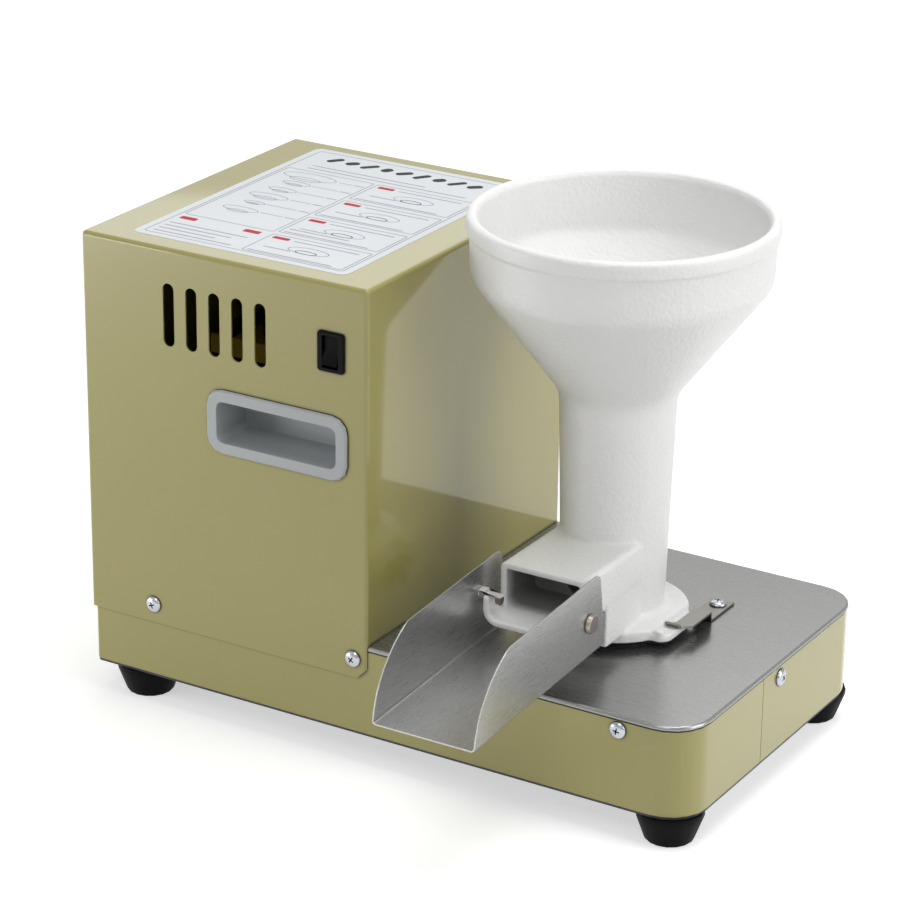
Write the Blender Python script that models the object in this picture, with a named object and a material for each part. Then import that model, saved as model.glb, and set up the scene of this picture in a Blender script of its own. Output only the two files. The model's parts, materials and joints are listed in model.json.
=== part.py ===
"""Electric miso grinder, modelled as the separate pieces it is built from.

Metres, +Z up. The vents, the switch and the chute face -Y, and the hopper stands on the +X half.
Pieces are placed from the base's front left bottom corner, and one empty carries them all so that
the part stands on z = 0 with its bounding box centred on the origin.
"""
import math

import bmesh
import bpy
from mathutils import Matrix, Vector

# Fits and tools
GAP = 0.0003
OVERRUN = 0.006
WELD = 0.000002
ROUND_STEPS = 3
SMALL_ROUND_STEPS = 2
LARGE_ROUND_STEPS = 5
INNER_STEPS = 16
HOLE_STEPS = 8
SHAFT_STEPS = 20
ROUND_PROFILE_SHARE = 0.5
SHARP_ANGLE = math.radians(32)

# Base
BASE_DEPTH = 0.2514
SKIRT_TOP = 0.0629
SKIRT_SHEET = 0.0012
SKIRT_RETURN = 0.0120
SEAM_Y = 0.1035
RIGHT_CORNER = 0.0270
LEFT_CORNER = 0.0030
FLOOR_SHEET = 0.0015
FLOOR_INSET = 0.0006
DECK_SHEET = 0.0020
DECK_FLANGE = 0.0240
PLATE_RISE = 0.0027
PLATE_SHEET = 0.0011
PLATE_LAP = 0.0008
PLATE_ROLL = 0.0020
AIR_SLOT_LENGTH = 0.0300
AIR_SLOT_WIDTH = 0.0050
AIR_SLOT_PITCH = 0.0140
AIR_SLOTS = 5
DECK_SLOT_LENGTH = 0.0900
DECK_SLOT_WIDTH = 0.0140
DECK_SLOT_IN = 0.0200

# Feet
FOOT_HEIGHT = 0.0220
FOOT_TOP_RADIUS = 0.0225
FOOT_TREAD_RADIUS = 0.0160
FOOT_RIM = 0.0040
FOOT_ROUND = 0.0025
FOOT_STEM_RADIUS = 0.0050
FOOT_BARB_RADIUS = 0.0064
FOOT_BARB_HEIGHT = 0.0060
FOOT_IN_LEFT = 0.0302
FOOT_IN_RIGHT = 0.0226
FOOT_IN_SIDE = 0.0209

# Motor cover, and the hopper's clearance from it and place from the base's right end
COVER_LENGTH = 0.2250
HOPPER_CLEARANCE = 0.0145
HOPPER_FROM_RIGHT = 0.1249
COVER_HEIGHT = 0.2713
COVER_LAP = 0.0018
COVER_DROP = 0.0209
COVER_SHEET = 0.0012
COVER_BEND = 0.0030
COVER_CORNER_CUT = 0.0080
VENTS = 5
VENT_START = 0.0702
VENT_PITCH = 0.0181
VENT_WIDTH = 0.0089
VENT_LENGTH = 0.0438
VENT_DROP = 0.0461

# Switch
SWITCH_FROM_RIGHT = 0.0274
SWITCH_DROP = 0.0463
BEZEL_WIDTH = 0.0203
BEZEL_HEIGHT = 0.0273
BEZEL_PROUD = 0.0018
BEZEL_ROUND = 0.0015
SWITCH_BODY_WIDTH = 0.0184
SWITCH_BODY_HEIGHT = 0.0250
SWITCH_BODY_DEPTH = 0.0200
ROCKER_WIDTH = 0.0115
ROCKER_HALF = 0.0095
ROCKER_RIDGE = 0.0030
ROCKER_PIVOT_IN = 0.0030
ROCKER_FOOT = 0.0030
ROCKER_WELL_HALF = 0.0110
ROCKER_TILT = math.radians(12)
BLADE_WIDTH = 0.0063
BLADE_SHEET = 0.0008
BLADE_LENGTH = 0.0080

# Recessed handles
HANDLE_FROM_RIGHT = 0.0696
HANDLE_DROP = 0.1119
HANDLE_LENGTH = 0.1096
HANDLE_HEIGHT = 0.0451
HANDLE_ROUND = 0.0120
HANDLE_PROUD = 0.0022
HANDLE_MOUTH_LENGTH = 0.0932
HANDLE_MOUTH_HEIGHT = 0.0287
HANDLE_MOUTH_ROUND = 0.0050
HANDLE_BODY_LENGTH = 0.1000
HANDLE_BODY_HEIGHT = 0.0355
HANDLE_DEPTH = 0.0320
HANDLE_WALL = 0.0022
HANDLE_DRAFT = 0.0030
HANDLE_RIM_ROUND = 0.0012

# Screws
SCREW_HEAD_RADIUS = 0.0059
SCREW_HEAD_HEIGHT = 0.0028
SCREW_SHANK_RADIUS = 0.0023
SCREW_LENGTH = 0.0090
COVER_SCREW_LEFT = 0.0530
COVER_SCREW_FROM_RIGHT = 0.0109
SCREW_DROP = 0.0075
SKIRT_SCREW_FROM_RIGHT = 0.0509
SIDE_SCREW_Y = 0.1277
SIDE_SCREW_DROP = 0.0091

# Cord inlet and wiring
GLAND_IN = 0.0400
GLAND_RISE = 0.0450
GLAND_BODY_RADIUS = 0.0080
GLAND_COLLAR_RADIUS = 0.0115
GLAND_BORE_RADIUS = 0.0042
GLAND_PROUD = 0.0110
GLAND_INSIDE = 0.0130
GLAND_COLLAR = 0.0030
GLAND_BARB = 0.0030
GLAND_BARB_RADIUS = 0.0095
BLOCK_LENGTH = 0.0440
BLOCK_DEPTH = 0.0190
BLOCK_HEIGHT = 0.0150
BLOCK_STEP = 0.0060
BLOCK_FROM_BACK = 0.0200
CAN_RADIUS = 0.0175
CAN_HEIGHT = 0.0800
CAN_CROWN = 0.0020
CAN_CLEARANCE = 0.0017
CAN_FROM_BACK = 0.0360
CUP_WALL = 0.0020
CUP_HEIGHT = 0.0150
CUP_FOOT = 0.0045

# Motor
MOTOR_RADIUS = 0.0600
MOTOR_RIB = 0.0040
MOTOR_RIBS = 12
STATOR_HEIGHT = 0.1000
STATOR_BORE = 0.0400
AIR_RING = 0.0010
ROTOR_MARGIN = 0.0120
END_WALL = 0.0050
END_DEPTH = 0.0290
END_FLOOR = 0.0060
END_FLANGE_RADIUS = 0.0740
MOTOR_BOLT_RING = 0.0685
MOTOR_BOLTS = 3
BOLT_HEAD_RADIUS = 0.0045
NUT_REACH = 0.0060
SHAFT_RADIUS = 0.0060
MOTOR_BEARING_RADIUS = 0.0150
MOTOR_BEARING_WIDTH = 0.0090
BEARING_WALL = 0.0040
SEAT_LIP = 0.0030
STRAP_LENGTH = 0.0960
STRAP_DEPTH = 0.1440
STRAP_SHEET = 0.0020
STRAP_FLANGE = 0.0130
FAN_RADIUS = 0.0460
FAN_HUB = 0.0110
FAN_HEIGHT = 0.0160
FAN_DISC = 0.0020
FAN_RISE = 0.0100
FAN_BLADE = 0.0016
FAN_BLADES = 7
SHAFT_TIP = 0.0030

# Belt drive
BELT_PLANE = 0.0260
PULLEY_STEPS = 20
BELT_TOP_HALF = 0.0062
BELT_BASE_HALF = 0.0040
BELT_DEPTH = 0.0078
BELT_STEPS = 16
BIG_RADIUS = 0.0800
SMALL_RADIUS = 0.0240
GROOVE_LIP = 0.0018
GROOVE_SPARE = 0.0012
WEB = 0.0060
BIG_HUB_RADIUS = 0.0160
BIG_HUB_HEIGHT = 0.0200
SMALL_HUB_HEIGHT = 0.0220
RIM_WALL = 0.0090
WINDOWS = 5
WINDOW_RADIUS = 0.0165
WINDOW_STEPS = 8

# Drive shaft and bearing housing
DRIVE_RADIUS = 0.0075
DRIVE_SQUARE = 0.0104
SQUARE_PLAY = 0.0006
DRIVE_BEARING_RADIUS = 0.0175
DRIVE_BEARING_WIDTH = 0.0110
SPACER = 0.0114
HOUSING_RADIUS = 0.0220
HOUSING_FLANGE_RADIUS = 0.0400
HOUSING_FLANGE = 0.0060
HOUSING_BOLT_RING = 0.0325
HOUSING_BOLTS = 3
NOSE_RADIUS = 0.0262
NOSE_HEIGHT = 0.0090
NOSE_PLAY = 0.0006
SEAL_HEIGHT = 0.0035

# Hopper casting, measured up from its seat and out from its axis
SEAT_RADIUS = 0.0440
SEAT_HEIGHT = 0.0038
FLANGE_RADIUS = 0.0515
FLANGE_THICKNESS = 0.0090
FLANGE_ROUND = 0.0015
FOOT_FILLET = 0.0040
NECK_FOOT_RADIUS = 0.0350
NECK_RADIUS = 0.0366
NECK_TAPER_HEIGHT = 0.0840
NECK_TOP_RADIUS = 0.0389
NECK_TOP_HEIGHT = 0.1643
NECK_ROUND = 0.0200
SHOULDER_RADIUS = 0.0982
SHOULDER_HEIGHT = 0.2428
SHOULDER_ROUND = 0.0160
RIM_RADIUS = 0.0990
BEAD_RADIUS = 0.1010
BEAD_HEIGHT = 0.0118
BEAD_ROUND = 0.0030
HOPPER_HEIGHT = 0.2839
HOPPER_WALL = 0.0055
BORE_RADIUS = 0.0315
BORE_ROUND = 0.0100
LEDGE_STEP = 0.0035
LEDGE_RISE = 0.0340
CAVITY_ROOF = 0.0060
SHAFT_HOLE_RADIUS = 0.0090
HOPPER_STEPS = 32

# Outlet duct, trough and latch ledges of the casting
DUCT_WIDTH = 0.0625
DUCT_HEIGHT = 0.0355
DUCT_RISE = 0.0335
DUCT_WALL = 0.0042
DUCT_ROUND = 0.0030
DUCT_FRONT = 0.0955
TROUGH_REACH = 0.0221
TROUGH_DROP = 0.0160
TROUGH_ROUND = 0.0100
PASSAGE_BACK = 0.0575
PASSAGE_RADIUS = 0.0125
PASSAGE_SHIFT = 0.0080
PASSAGE_LIFT = 0.0010
HORN_LENGTH = 0.0096
HOOK_DROP = 0.0072
HOOK_START = 2.7
PEDESTAL_INSET = 0.0004
PEDESTAL_REACH = 0.0600
LUG_REACH = 0.0556
LUG_FRONT = 0.0275
LUG_BACK = 0.0200
LUG_THICKNESS = 0.0053
LUG_ROUND = 0.0080
LEDGE_IN = 0.0455

# Grinding set
PLATE_THICKNESS = 0.0060
PLATE_BORE = 0.0082
PLATE_HOLE = 0.0023
PLATE_RINGS = ((0.0130, 6), (0.0190, 9), (0.0252, 12))
PLATE_HOLE_STEPS = 6
KEY_RADIUS = 0.0022
KEY_HEIGHT = 0.0050
KNIFE_THICKNESS = 0.0050
KNIFE_HUB = 0.0115
KNIFE_ARM_ROOT = 0.0055
KNIFE_ARM_TIP = 0.0035
KNIFE_ARMS = 4
KNIFE_SWEEP = math.radians(12)
BLADE_PLAY = 0.0020
AUGER_CORE = 0.0100
AUGER_NECK = 0.0080
AUGER_NOSE = 0.0120
AUGER_HEIGHT = 0.0860
AUGER_PLAY = 0.0009
AUGER_PITCH = 0.0270
AUGER_ROOT_HALF = 0.0026
AUGER_EDGE_HALF = 0.0014
AUGER_SOCKET = 0.0400
AUGER_STEPS = 16
AUGER_ROOT_IN = 0.0015
PADDLE_HUB = 0.0115
PADDLE_HEIGHT = 0.0200
PADDLE_ARM_ROOT = 0.0040
PADDLE_ARM_TIP = 0.0022
PADDLE_ARMS = 3
PADDLE_SWEEP = math.radians(35)

# Chute, measured from the pins that it hangs on
CHUTE_SHEET = 0.0010
CHUTE_PLAY = 0.0047
CHUTE_BEND = 0.0025
CHUTE_REACH = 0.1421
CHUTE_TAIL = 0.0211
CHUTE_DROP = 0.0236
CHUTE_LIP_DROP = 0.0318
CHUTE_BACK_TOP = 0.0300
CHUTE_BACK_LEAN = 0.0130
CHUTE_BACK_ROUND = 0.0060
SHOULDER_REACH = 0.1014
SHOULDER_TOP = 0.0232
NOSE_BULGE = 0.0090
NOSE_STEPS = 8
PIVOT_AHEAD = 0.0035
STUD_RADIUS = 0.0032
STUD_HEAD_RADIUS = 0.0067
STUD_HEAD_HEIGHT = 0.0033
STUD_SHORT = 0.0008
PIVOT_LIFT = 0.0059
CLIP_WIDTH = 0.0070
CLIP_SHEET = 0.0008
CLIP_REACH = 0.0080
CLIP_TAB = 0.0035
CLIP_STEP = 0.0020

# Latches, measured from their screws
LATCH_SHEET = 0.0015
LATCH_OUT = 0.0515
LATCH_BACK = 0.0554
LATCH_HEEL = 0.0090
LATCH_HALF = 0.0080
LATCH_STEP_START = 0.0250
LATCH_STEP_RUN = 0.0075
LATCH_TAPER_START = 0.0590
LATCH_TIP_START = 0.0645
LATCH_LENGTH = 0.0670
LATCH_SLIM_INSIDE = -0.0010
LATCH_SLIM_OUTSIDE = 0.0113
LATCH_TIP_INSIDE = -0.0055
LATCH_TIP_OUTSIDE = 0.0053
LATCH_TAB = 0.0030

# Levels that the sizes above give, from the base's underside
SKIRT_BOTTOM = FLOOR_SHEET + GAP
LIP_BOTTOM = SKIRT_TOP + GAP
PLATE_TOP = LIP_BOTTOM + PLATE_RISE
PLATE_UNDER = PLATE_TOP - PLATE_SHEET
DECK_TOP = PLATE_UNDER - GAP
DECK_UNDER = DECK_TOP - DECK_SHEET
COVER_BOTTOM = SKIRT_TOP - COVER_DROP
COVER_TOP = COVER_BOTTOM + COVER_HEIGHT
SCREW_Z = SKIRT_TOP - SCREW_DROP
SEAT_Z = PLATE_TOP + GAP
MIDDLE_Y = BASE_DEPTH / 2
MOTOR_X = COVER_LENGTH / 2 - COVER_LAP
HOPPER_X = COVER_LENGTH - COVER_LAP + HOPPER_CLEARANCE + SHOULDER_RADIUS
BASE_LENGTH = HOPPER_X + HOPPER_FROM_RIGHT
MOTOR_BASE = DECK_TOP + GAP
STATOR_BASE = MOTOR_BASE + END_DEPTH + GAP
STATOR_TOP = STATOR_BASE + STATOR_HEIGHT
MOTOR_TOP = STATOR_TOP + GAP + END_DEPTH
STRAP_BASE = MOTOR_TOP + GAP
FAN_BASE = STRAP_BASE + STRAP_SHEET + FAN_RISE
DRIVE_BEARING_SEAT = DRIVE_BEARING_RADIUS + GAP
HOUSING_TOP = DECK_UNDER - GAP
NOSE_TOP = PLATE_TOP + NOSE_HEIGHT

# Levels and places in the casting, from its seat and its axis
FLANGE_TOP = SEAT_HEIGHT + FLANGE_THICKNESS
LUG_TOP = SEAT_HEIGHT + LUG_THICKNESS
CHAMBER_FLOOR = DUCT_RISE + DUCT_WALL
LEDGE_HEIGHT = CHAMBER_FLOOR + LEDGE_RISE
CAVITY_TOP = CHAMBER_FLOOR - CAVITY_ROOF
CHAMBER_RADIUS = BORE_RADIUS - LEDGE_STEP
DUCT_TOP = DUCT_RISE + DUCT_HEIGHT
TROUGH_FRONT = DUCT_FRONT + TROUGH_REACH
TROUGH_TOP = DUCT_TOP - TROUGH_DROP
PIVOT_OUT = DUCT_FRONT + PIVOT_AHEAD
PIVOT_HEIGHT = CHAMBER_FLOOR + PIVOT_LIFT
CHUTE_WIDTH = DUCT_WIDTH + 2 * (CHUTE_PLAY + CHUTE_SHEET)
CHUTE_INSIDE = CHUTE_WIDTH - 2 * CHUTE_SHEET

# The levels of the grinding set, from the casting's seat
DISC_BASE = LEDGE_HEIGHT + GAP
KNIFE_BASE = DISC_BASE + PLATE_THICKNESS + GAP
AUGER_BASE = KNIFE_BASE + KNIFE_THICKNESS + GAP

FINISHES = {
    "olive_paint": ((0.40, 0.37, 0.16), 0.38, 0.0),
    "stainless": ((0.55, 0.55, 0.54), 0.32, 1.0),
    "zinc": ((0.62, 0.63, 0.64), 0.35, 1.0),
    "white_paint": ((0.83, 0.83, 0.81), 0.62, 0.0),
    "grey_plastic": ((0.50, 0.53, 0.55), 0.45, 0.0),
    "black_plastic": ((0.02, 0.02, 0.022), 0.40, 0.0),
    "rubber": ((0.025, 0.025, 0.027), 0.80, 0.0),
    "yellow_zinc": ((0.55, 0.42, 0.10), 0.35, 1.0),
    "tool_steel": ((0.42, 0.42, 0.43), 0.30, 1.0),
    "cast_iron": ((0.20, 0.21, 0.22), 0.60, 0.8),
    "aluminium": ((0.66, 0.67, 0.68), 0.40, 1.0),
}

# The empty that carries every piece, made by build
machine = None


# Outlines

def circle(radius, steps, x=0.0, y=0.0, turn=0.0):
    """A ring of points, counter-clockwise."""
    angles = [turn + 2 * math.pi * i / steps for i in range(steps)]
    return [(x + radius * math.cos(a), y + radius * math.sin(a)) for a in angles]


def arc(x, y, radius, start, end, steps):
    """Points of an arc, its ends included. Angles are in quarter turns."""
    angles = [math.pi / 2 * (start + (end - start) * i / steps) for i in range(steps + 1)]
    return [(x + radius * math.cos(a), y + radius * math.sin(a)) for a in angles]


def round_rectangle(length, height, radius, x=0.0, y=0.0, steps=ROUND_STEPS):
    """A rectangle about x, y with four round corners."""
    half_x = length / 2 - radius
    half_y = height / 2 - radius
    corners = ((half_x, half_y, 0), (-half_x, half_y, 1), (-half_x, -half_y, 2), (half_x, -half_y, 3))
    points = []
    for dx, dy, quarter in corners:
        points += arc(x + dx, y + dy, radius, quarter, quarter + 1, steps)
    return points


def slot_outline(length, width, x, y, steps=ROUND_STEPS):
    """An upright slot with round ends."""
    radius = width / 2
    reach = length / 2 - radius
    return arc(x, y + reach, radius, 0, 2, steps) + arc(x, y - reach, radius, 2, 4, steps)


def square_ring(side, steps):
    """A square whose corners lie on a ring of evenly turned points."""
    points = []
    for i in range(steps):
        a = 2 * math.pi * i / steps
        reach = side / 2 / max(abs(math.cos(a)), abs(math.sin(a)))
        points.append((reach * math.cos(a), reach * math.sin(a)))
    return points


def arms_outline(arms, hub, tip, root_half, tip_half, sweep):
    """A hub with arms that sweep back by an angle towards their tips."""
    points = []
    root_turn = math.asin(root_half / hub)
    tip_turn = math.asin(tip_half / tip)
    for i in range(arms):
        middle = 2 * math.pi * i / arms
        for radius, angle in (
            (hub, middle - root_turn),
            (tip, middle + sweep - tip_turn),
            (tip, middle + sweep + tip_turn),
            (hub, middle + root_turn),
            (hub, middle + math.pi / arms),
        ):
            points.append((radius * math.cos(angle), radius * math.sin(angle)))
    return points


def rounded(corners, steps=ROUND_STEPS):
    """A line of (x, y, radius) corners with each corner turned into an arc.

    A corner may name its own number of steps after its radius.
    """
    points = []
    count = len(corners)
    for i, (x, y, radius, *own) in enumerate(corners):
        if not radius:
            points.append((x, y))
            continue
        own_steps = own[0] if own else steps
        here = Vector((x, y))
        back = (Vector(corners[i - 1][:2]) - here).normalized()
        ahead = (Vector(corners[(i + 1) % count][:2]) - here).normalized()
        half = back.angle(ahead) / 2
        centre = here + (back + ahead).normalized() * (radius / math.sin(half))
        start = here + back * (radius / math.tan(half)) - centre
        end = here + ahead * (radius / math.tan(half)) - centre
        turn = start.angle_signed(end)
        for k in range(own_steps + 1):
            spoke = start.copy()
            spoke.rotate(Matrix.Rotation(-turn * k / own_steps, 2))
            points.append(tuple(centre + spoke))
    return points


def base_corner(x, y, radius, inset, start):
    """An arc of the base's outline, or its inner corner once the inset passes the radius."""
    steps = LARGE_ROUND_STEPS if radius == RIGHT_CORNER else SMALL_ROUND_STEPS
    side_x = 1 if start in (1, 2) else -1
    side_y = 1 if start in (2, 3) else -1
    kept = max(radius - inset, 0.0)
    shift = inset + kept
    return arc(x + side_x * shift, y + side_y * shift, kept, start, start + 1, steps)


def base_outline(inset):
    """The base seen from above, a distance inside its skirt's face."""
    return (
        base_corner(0.0, 0.0, LEFT_CORNER, inset, 2)
        + base_corner(BASE_LENGTH, 0.0, RIGHT_CORNER, inset, 3)
        + base_corner(BASE_LENGTH, BASE_DEPTH, RIGHT_CORNER, inset, 0)
        + base_corner(0.0, BASE_DEPTH, LEFT_CORNER, inset, 1)
    )


# Solids in a bmesh

def spot(axes, u, v, w):
    """A point whose three values lie along the named axes."""
    place = dict(zip(axes, (u, v, w)))
    return Vector((place["x"], place["y"], place["z"]))


def loft(bm, rings, closed=False):
    """Joins rings of points into a solid: capped at both ends, or closed on itself."""
    loops = [[bm.verts.new(p) for p in ring] for ring in rings]
    pairs = list(zip(loops, loops[1:]))
    if closed:
        pairs.append((loops[-1], loops[0]))
    for low, high in pairs:
        for i in range(len(low)):
            j = (i + 1) % len(low)
            bm.faces.new((low[i], low[j], high[j], high[i]))
    if not closed:
        bm.faces.new(list(reversed(loops[0])))
        bm.faces.new(loops[-1])
    return bm


def prism(bm, outline, low, high, axes="xyz"):
    """An outline pushed along the third named axis."""
    return loft(bm, [[spot(axes, u, v, w) for u, v in outline] for w in (low, high)])


def stack(bm, layers, axes="xyz"):
    """A loft through (outline, level) layers."""
    return loft(bm, [[spot(axes, u, v, w) for u, v in outline] for outline, w in layers])


def spin(bm, profile, steps, axes="xyz", centre=(0.0, 0.0), turn=0.0):
    """Turns a closed (radius, level) profile about the third named axis. A radius of 0 is a pole."""
    rings = []
    for radius, level in profile:
        if radius:
            ring = [spot(axes, u, v, level) for u, v in circle(radius, steps, *centre, turn)]
            rings.append([bm.verts.new(p) for p in ring])
        else:
            rings.append([bm.verts.new(spot(axes, *centre, level))])
    for low, high in zip(rings, rings[1:] + rings[:1]):
        if len(low) == 1 and len(high) == 1:
            continue
        for i in range(steps):
            j = (i + 1) % steps
            corners = [low[i % len(low)], low[j % len(low)], high[j % len(high)], high[i % len(high)]]
            bm.faces.new(list(dict.fromkeys(corners)))
    return bm


def block(bm, low, high):
    """A box between two corners."""
    outline = ((low[0], low[1]), (high[0], low[1]), (high[0], high[1]), (low[0], high[1]))
    return prism(bm, outline, low[2], high[2])


def strip(bm, stations, sheet):
    """A bent strip of sheet through (y, z, left x, right x) stations, its sheet above the line."""
    rings = []
    for i, (y, z, left, right) in enumerate(stations):
        before = Vector(stations[max(i - 1, 0)][:2])
        after = Vector(stations[min(i + 1, len(stations) - 1)][:2])
        here = Vector((y, z))
        run_in = (here - before).normalized() if i else (after - here).normalized()
        run_out = (after - here).normalized() if i < len(stations) - 1 else run_in
        middle = (run_in + run_out).normalized()
        normal = Vector((middle.y, -middle.x)) * (sheet / middle.dot(run_in))
        top = here + normal
        rings.append([(left, y, z), (right, y, z), (right, top.x, top.y), (left, top.x, top.y)])
    return loft(bm, rings)


def round_edges(bm, edges, radius, steps):
    """Rounds a solid's edges."""
    bmesh.ops.bevel(
        bm, geom=edges, offset=radius, segments=steps, affect="EDGES", profile=ROUND_PROFILE_SHARE
    )


# Objects

def piece(name, bm, finish, location=(0.0, 0.0, 0.0)):
    """Turns a bmesh into a named object with its own material, carried by the machine."""
    bmesh.ops.remove_doubles(bm, verts=bm.verts, dist=WELD)
    bmesh.ops.recalc_face_normals(bm, faces=bm.faces)
    mesh = bpy.data.meshes.new(name)
    bm.to_mesh(mesh)
    bm.free()
    colour, roughness, metallic = FINISHES[finish]
    material = bpy.data.materials.new(name)
    material.use_nodes = True
    shader = material.node_tree.nodes["Principled BSDF"]
    shader.inputs["Base Color"].default_value = (*colour, 1.0)
    shader.inputs["Roughness"].default_value = roughness
    shader.inputs["Metallic"].default_value = metallic
    material.diffuse_color = (*colour, 1.0)
    mesh.materials.append(material)
    thing = bpy.data.objects.new(name, mesh)
    thing.location = location
    thing.parent = machine
    bpy.context.collection.objects.link(thing)
    smooth(thing)
    return thing


def smooth(thing):
    """Shades round surfaces smooth and keeps the edges sharp."""
    thing.data.shade_smooth()
    thing.data.set_sharp_from_angle(angle=SHARP_ANGLE)


def carve(thing, tool, operation="DIFFERENCE"):
    """Cuts a tool's solids out of a piece, or adds them with UNION. Both are in the piece's own space."""
    bmesh.ops.remove_doubles(tool, verts=tool.verts, dist=WELD)
    bmesh.ops.recalc_face_normals(tool, faces=tool.faces)
    tool_mesh = bpy.data.meshes.new("tool")
    tool.to_mesh(tool_mesh)
    tool.free()
    cutter = bpy.data.objects.new("tool", tool_mesh)
    cutter.parent = machine
    cutter.location = thing.location
    bpy.context.collection.objects.link(cutter)
    modifier = thing.modifiers.new("shape", "BOOLEAN")
    modifier.operation = operation
    modifier.solver = "EXACT"
    modifier.object = cutter
    bpy.context.view_layer.update()
    shaped = bpy.data.meshes.new_from_object(thing.evaluated_get(bpy.context.evaluated_depsgraph_get()))
    thing.modifiers.clear()
    plain = thing.data
    thing.data = shaped
    bpy.data.meshes.remove(plain)
    bpy.data.objects.remove(cutter)
    bpy.data.meshes.remove(tool_mesh)
    shaped.name = thing.name
    tidy = bmesh.new()
    tidy.from_mesh(shaped)
    bmesh.ops.remove_doubles(tidy, verts=tidy.verts, dist=WELD)
    bmesh.ops.dissolve_degenerate(tidy, edges=tidy.edges, dist=WELD)
    tidy.to_mesh(shaped)
    tidy.free()
    smooth(thing)


def holes(radius, low, high, places, axes="xyz", steps=HOLE_STEPS):
    """A tool of round bars, one for each place."""
    tool = bmesh.new()
    for x, y in places:
        prism(tool, circle(radius, steps, x, y), low, high, axes)
    return tool


# Base

def foot_places():
    """The centre of each foot, by name."""
    left = FOOT_IN_LEFT
    right = BASE_LENGTH - FOOT_IN_RIGHT
    front = FOOT_IN_SIDE
    back = BASE_DEPTH - FOOT_IN_SIDE
    return {
        "foot_front_left": (left, front),
        "foot_front_right": (right, front),
        "foot_back_left": (left, back),
        "foot_back_right": (right, back),
    }


def make_bottom_plate():
    bm = prism(bmesh.new(), base_outline(FLOOR_INSET), 0.0, FLOOR_SHEET)
    plate = piece("bottom_plate", bm, "zinc")
    hole = FOOT_STEM_RADIUS + GAP
    carve(plate, holes(hole, -OVERRUN, FLOOR_SHEET + OVERRUN, foot_places().values(), steps=INNER_STEPS))
    slots = bmesh.new()
    for i in range(AIR_SLOTS):
        x = MOTOR_X + (i - (AIR_SLOTS - 1) / 2) * AIR_SLOT_PITCH
        outline = slot_outline(AIR_SLOT_LENGTH, AIR_SLOT_WIDTH, x, MIDDLE_Y)
        prism(slots, outline, -OVERRUN, FLOOR_SHEET + OVERRUN)
    carve(plate, slots)


def skirt_path(inset, seam_y, front):
    """Half of the base's outline, from one seam round to the other."""
    ends = [(inset, seam_y)], [(BASE_LENGTH - inset, seam_y)]
    left_y, right_y = (0.0, 0.0) if front else (BASE_DEPTH, BASE_DEPTH)
    if front:
        left = base_corner(0.0, left_y, LEFT_CORNER, inset, 2)
        right = base_corner(BASE_LENGTH, right_y, RIGHT_CORNER, inset, 3)
    else:
        left = base_corner(0.0, left_y, LEFT_CORNER, inset, 1)[::-1]
        right = base_corner(BASE_LENGTH, right_y, RIGHT_CORNER, inset, 0)[::-1]
    return ends[0] + left + right + ends[1]


def make_skirt(name, seam_y, front):
    """A bent band of sheet with a return flange under it."""
    section = (
        (0.0, SKIRT_BOTTOM),
        (0.0, SKIRT_TOP),
        (SKIRT_SHEET, SKIRT_TOP),
        (SKIRT_SHEET, SKIRT_BOTTOM + SKIRT_SHEET),
        (SKIRT_RETURN, SKIRT_BOTTOM + SKIRT_SHEET),
        (SKIRT_RETURN, SKIRT_BOTTOM),
    )
    lines = [[(x, y, z) for x, y in skirt_path(inset, seam_y, front)] for inset, z in section]
    return piece(name, loft(bmesh.new(), list(zip(*lines))), "olive_paint")


def wall_screw_places():
    """Where the screws on a long side stand, in x and z: the cover's two and the skirt's one."""
    return (
        (cover_x(COVER_SCREW_LEFT), SCREW_Z),
        (from_cover_right(COVER_SCREW_FROM_RIGHT), SCREW_Z),
        (BASE_LENGTH - SKIRT_SCREW_FROM_RIGHT, SCREW_Z),
    )


def side_screw():
    """The place of the screw beside the right seam."""
    return (SIDE_SCREW_Y, SKIRT_TOP - SIDE_SCREW_DROP)


def make_skirts():
    hole = SCREW_SHANK_RADIUS + GAP
    places = wall_screw_places()
    front = make_skirt("front_skirt", SEAM_Y, True)
    carve(front, holes(hole, -OVERRUN, SKIRT_SHEET + OVERRUN, places, "xzy"))
    back = make_skirt("rear_skirt", SEAM_Y + GAP, False)
    carve(back, holes(hole, BASE_DEPTH - SKIRT_SHEET - OVERRUN, BASE_DEPTH + OVERRUN, places, "xzy"))
    low = BASE_LENGTH - SKIRT_SHEET - OVERRUN
    carve(back, holes(hole, low, BASE_LENGTH + OVERRUN, [side_screw()], "yzx"))


def latch_places():
    """The screw of each latch and the half turn that sets the left one opposite the right one."""
    right = (HOPPER_X + LATCH_OUT, MIDDLE_Y + LATCH_BACK)
    left = (HOPPER_X - LATCH_OUT, MIDDLE_Y - LATCH_BACK)
    return {"latch_right": (right, 0.0), "latch_left": (left, math.pi)}


def motor_bolt_places():
    return circle(MOTOR_BOLT_RING, MOTOR_BOLTS, MOTOR_X, MIDDLE_Y, math.pi / 3)


def housing_bolt_places():
    return circle(HOUSING_BOLT_RING, HOUSING_BOLTS, HOPPER_X, MIDDLE_Y)


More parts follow.
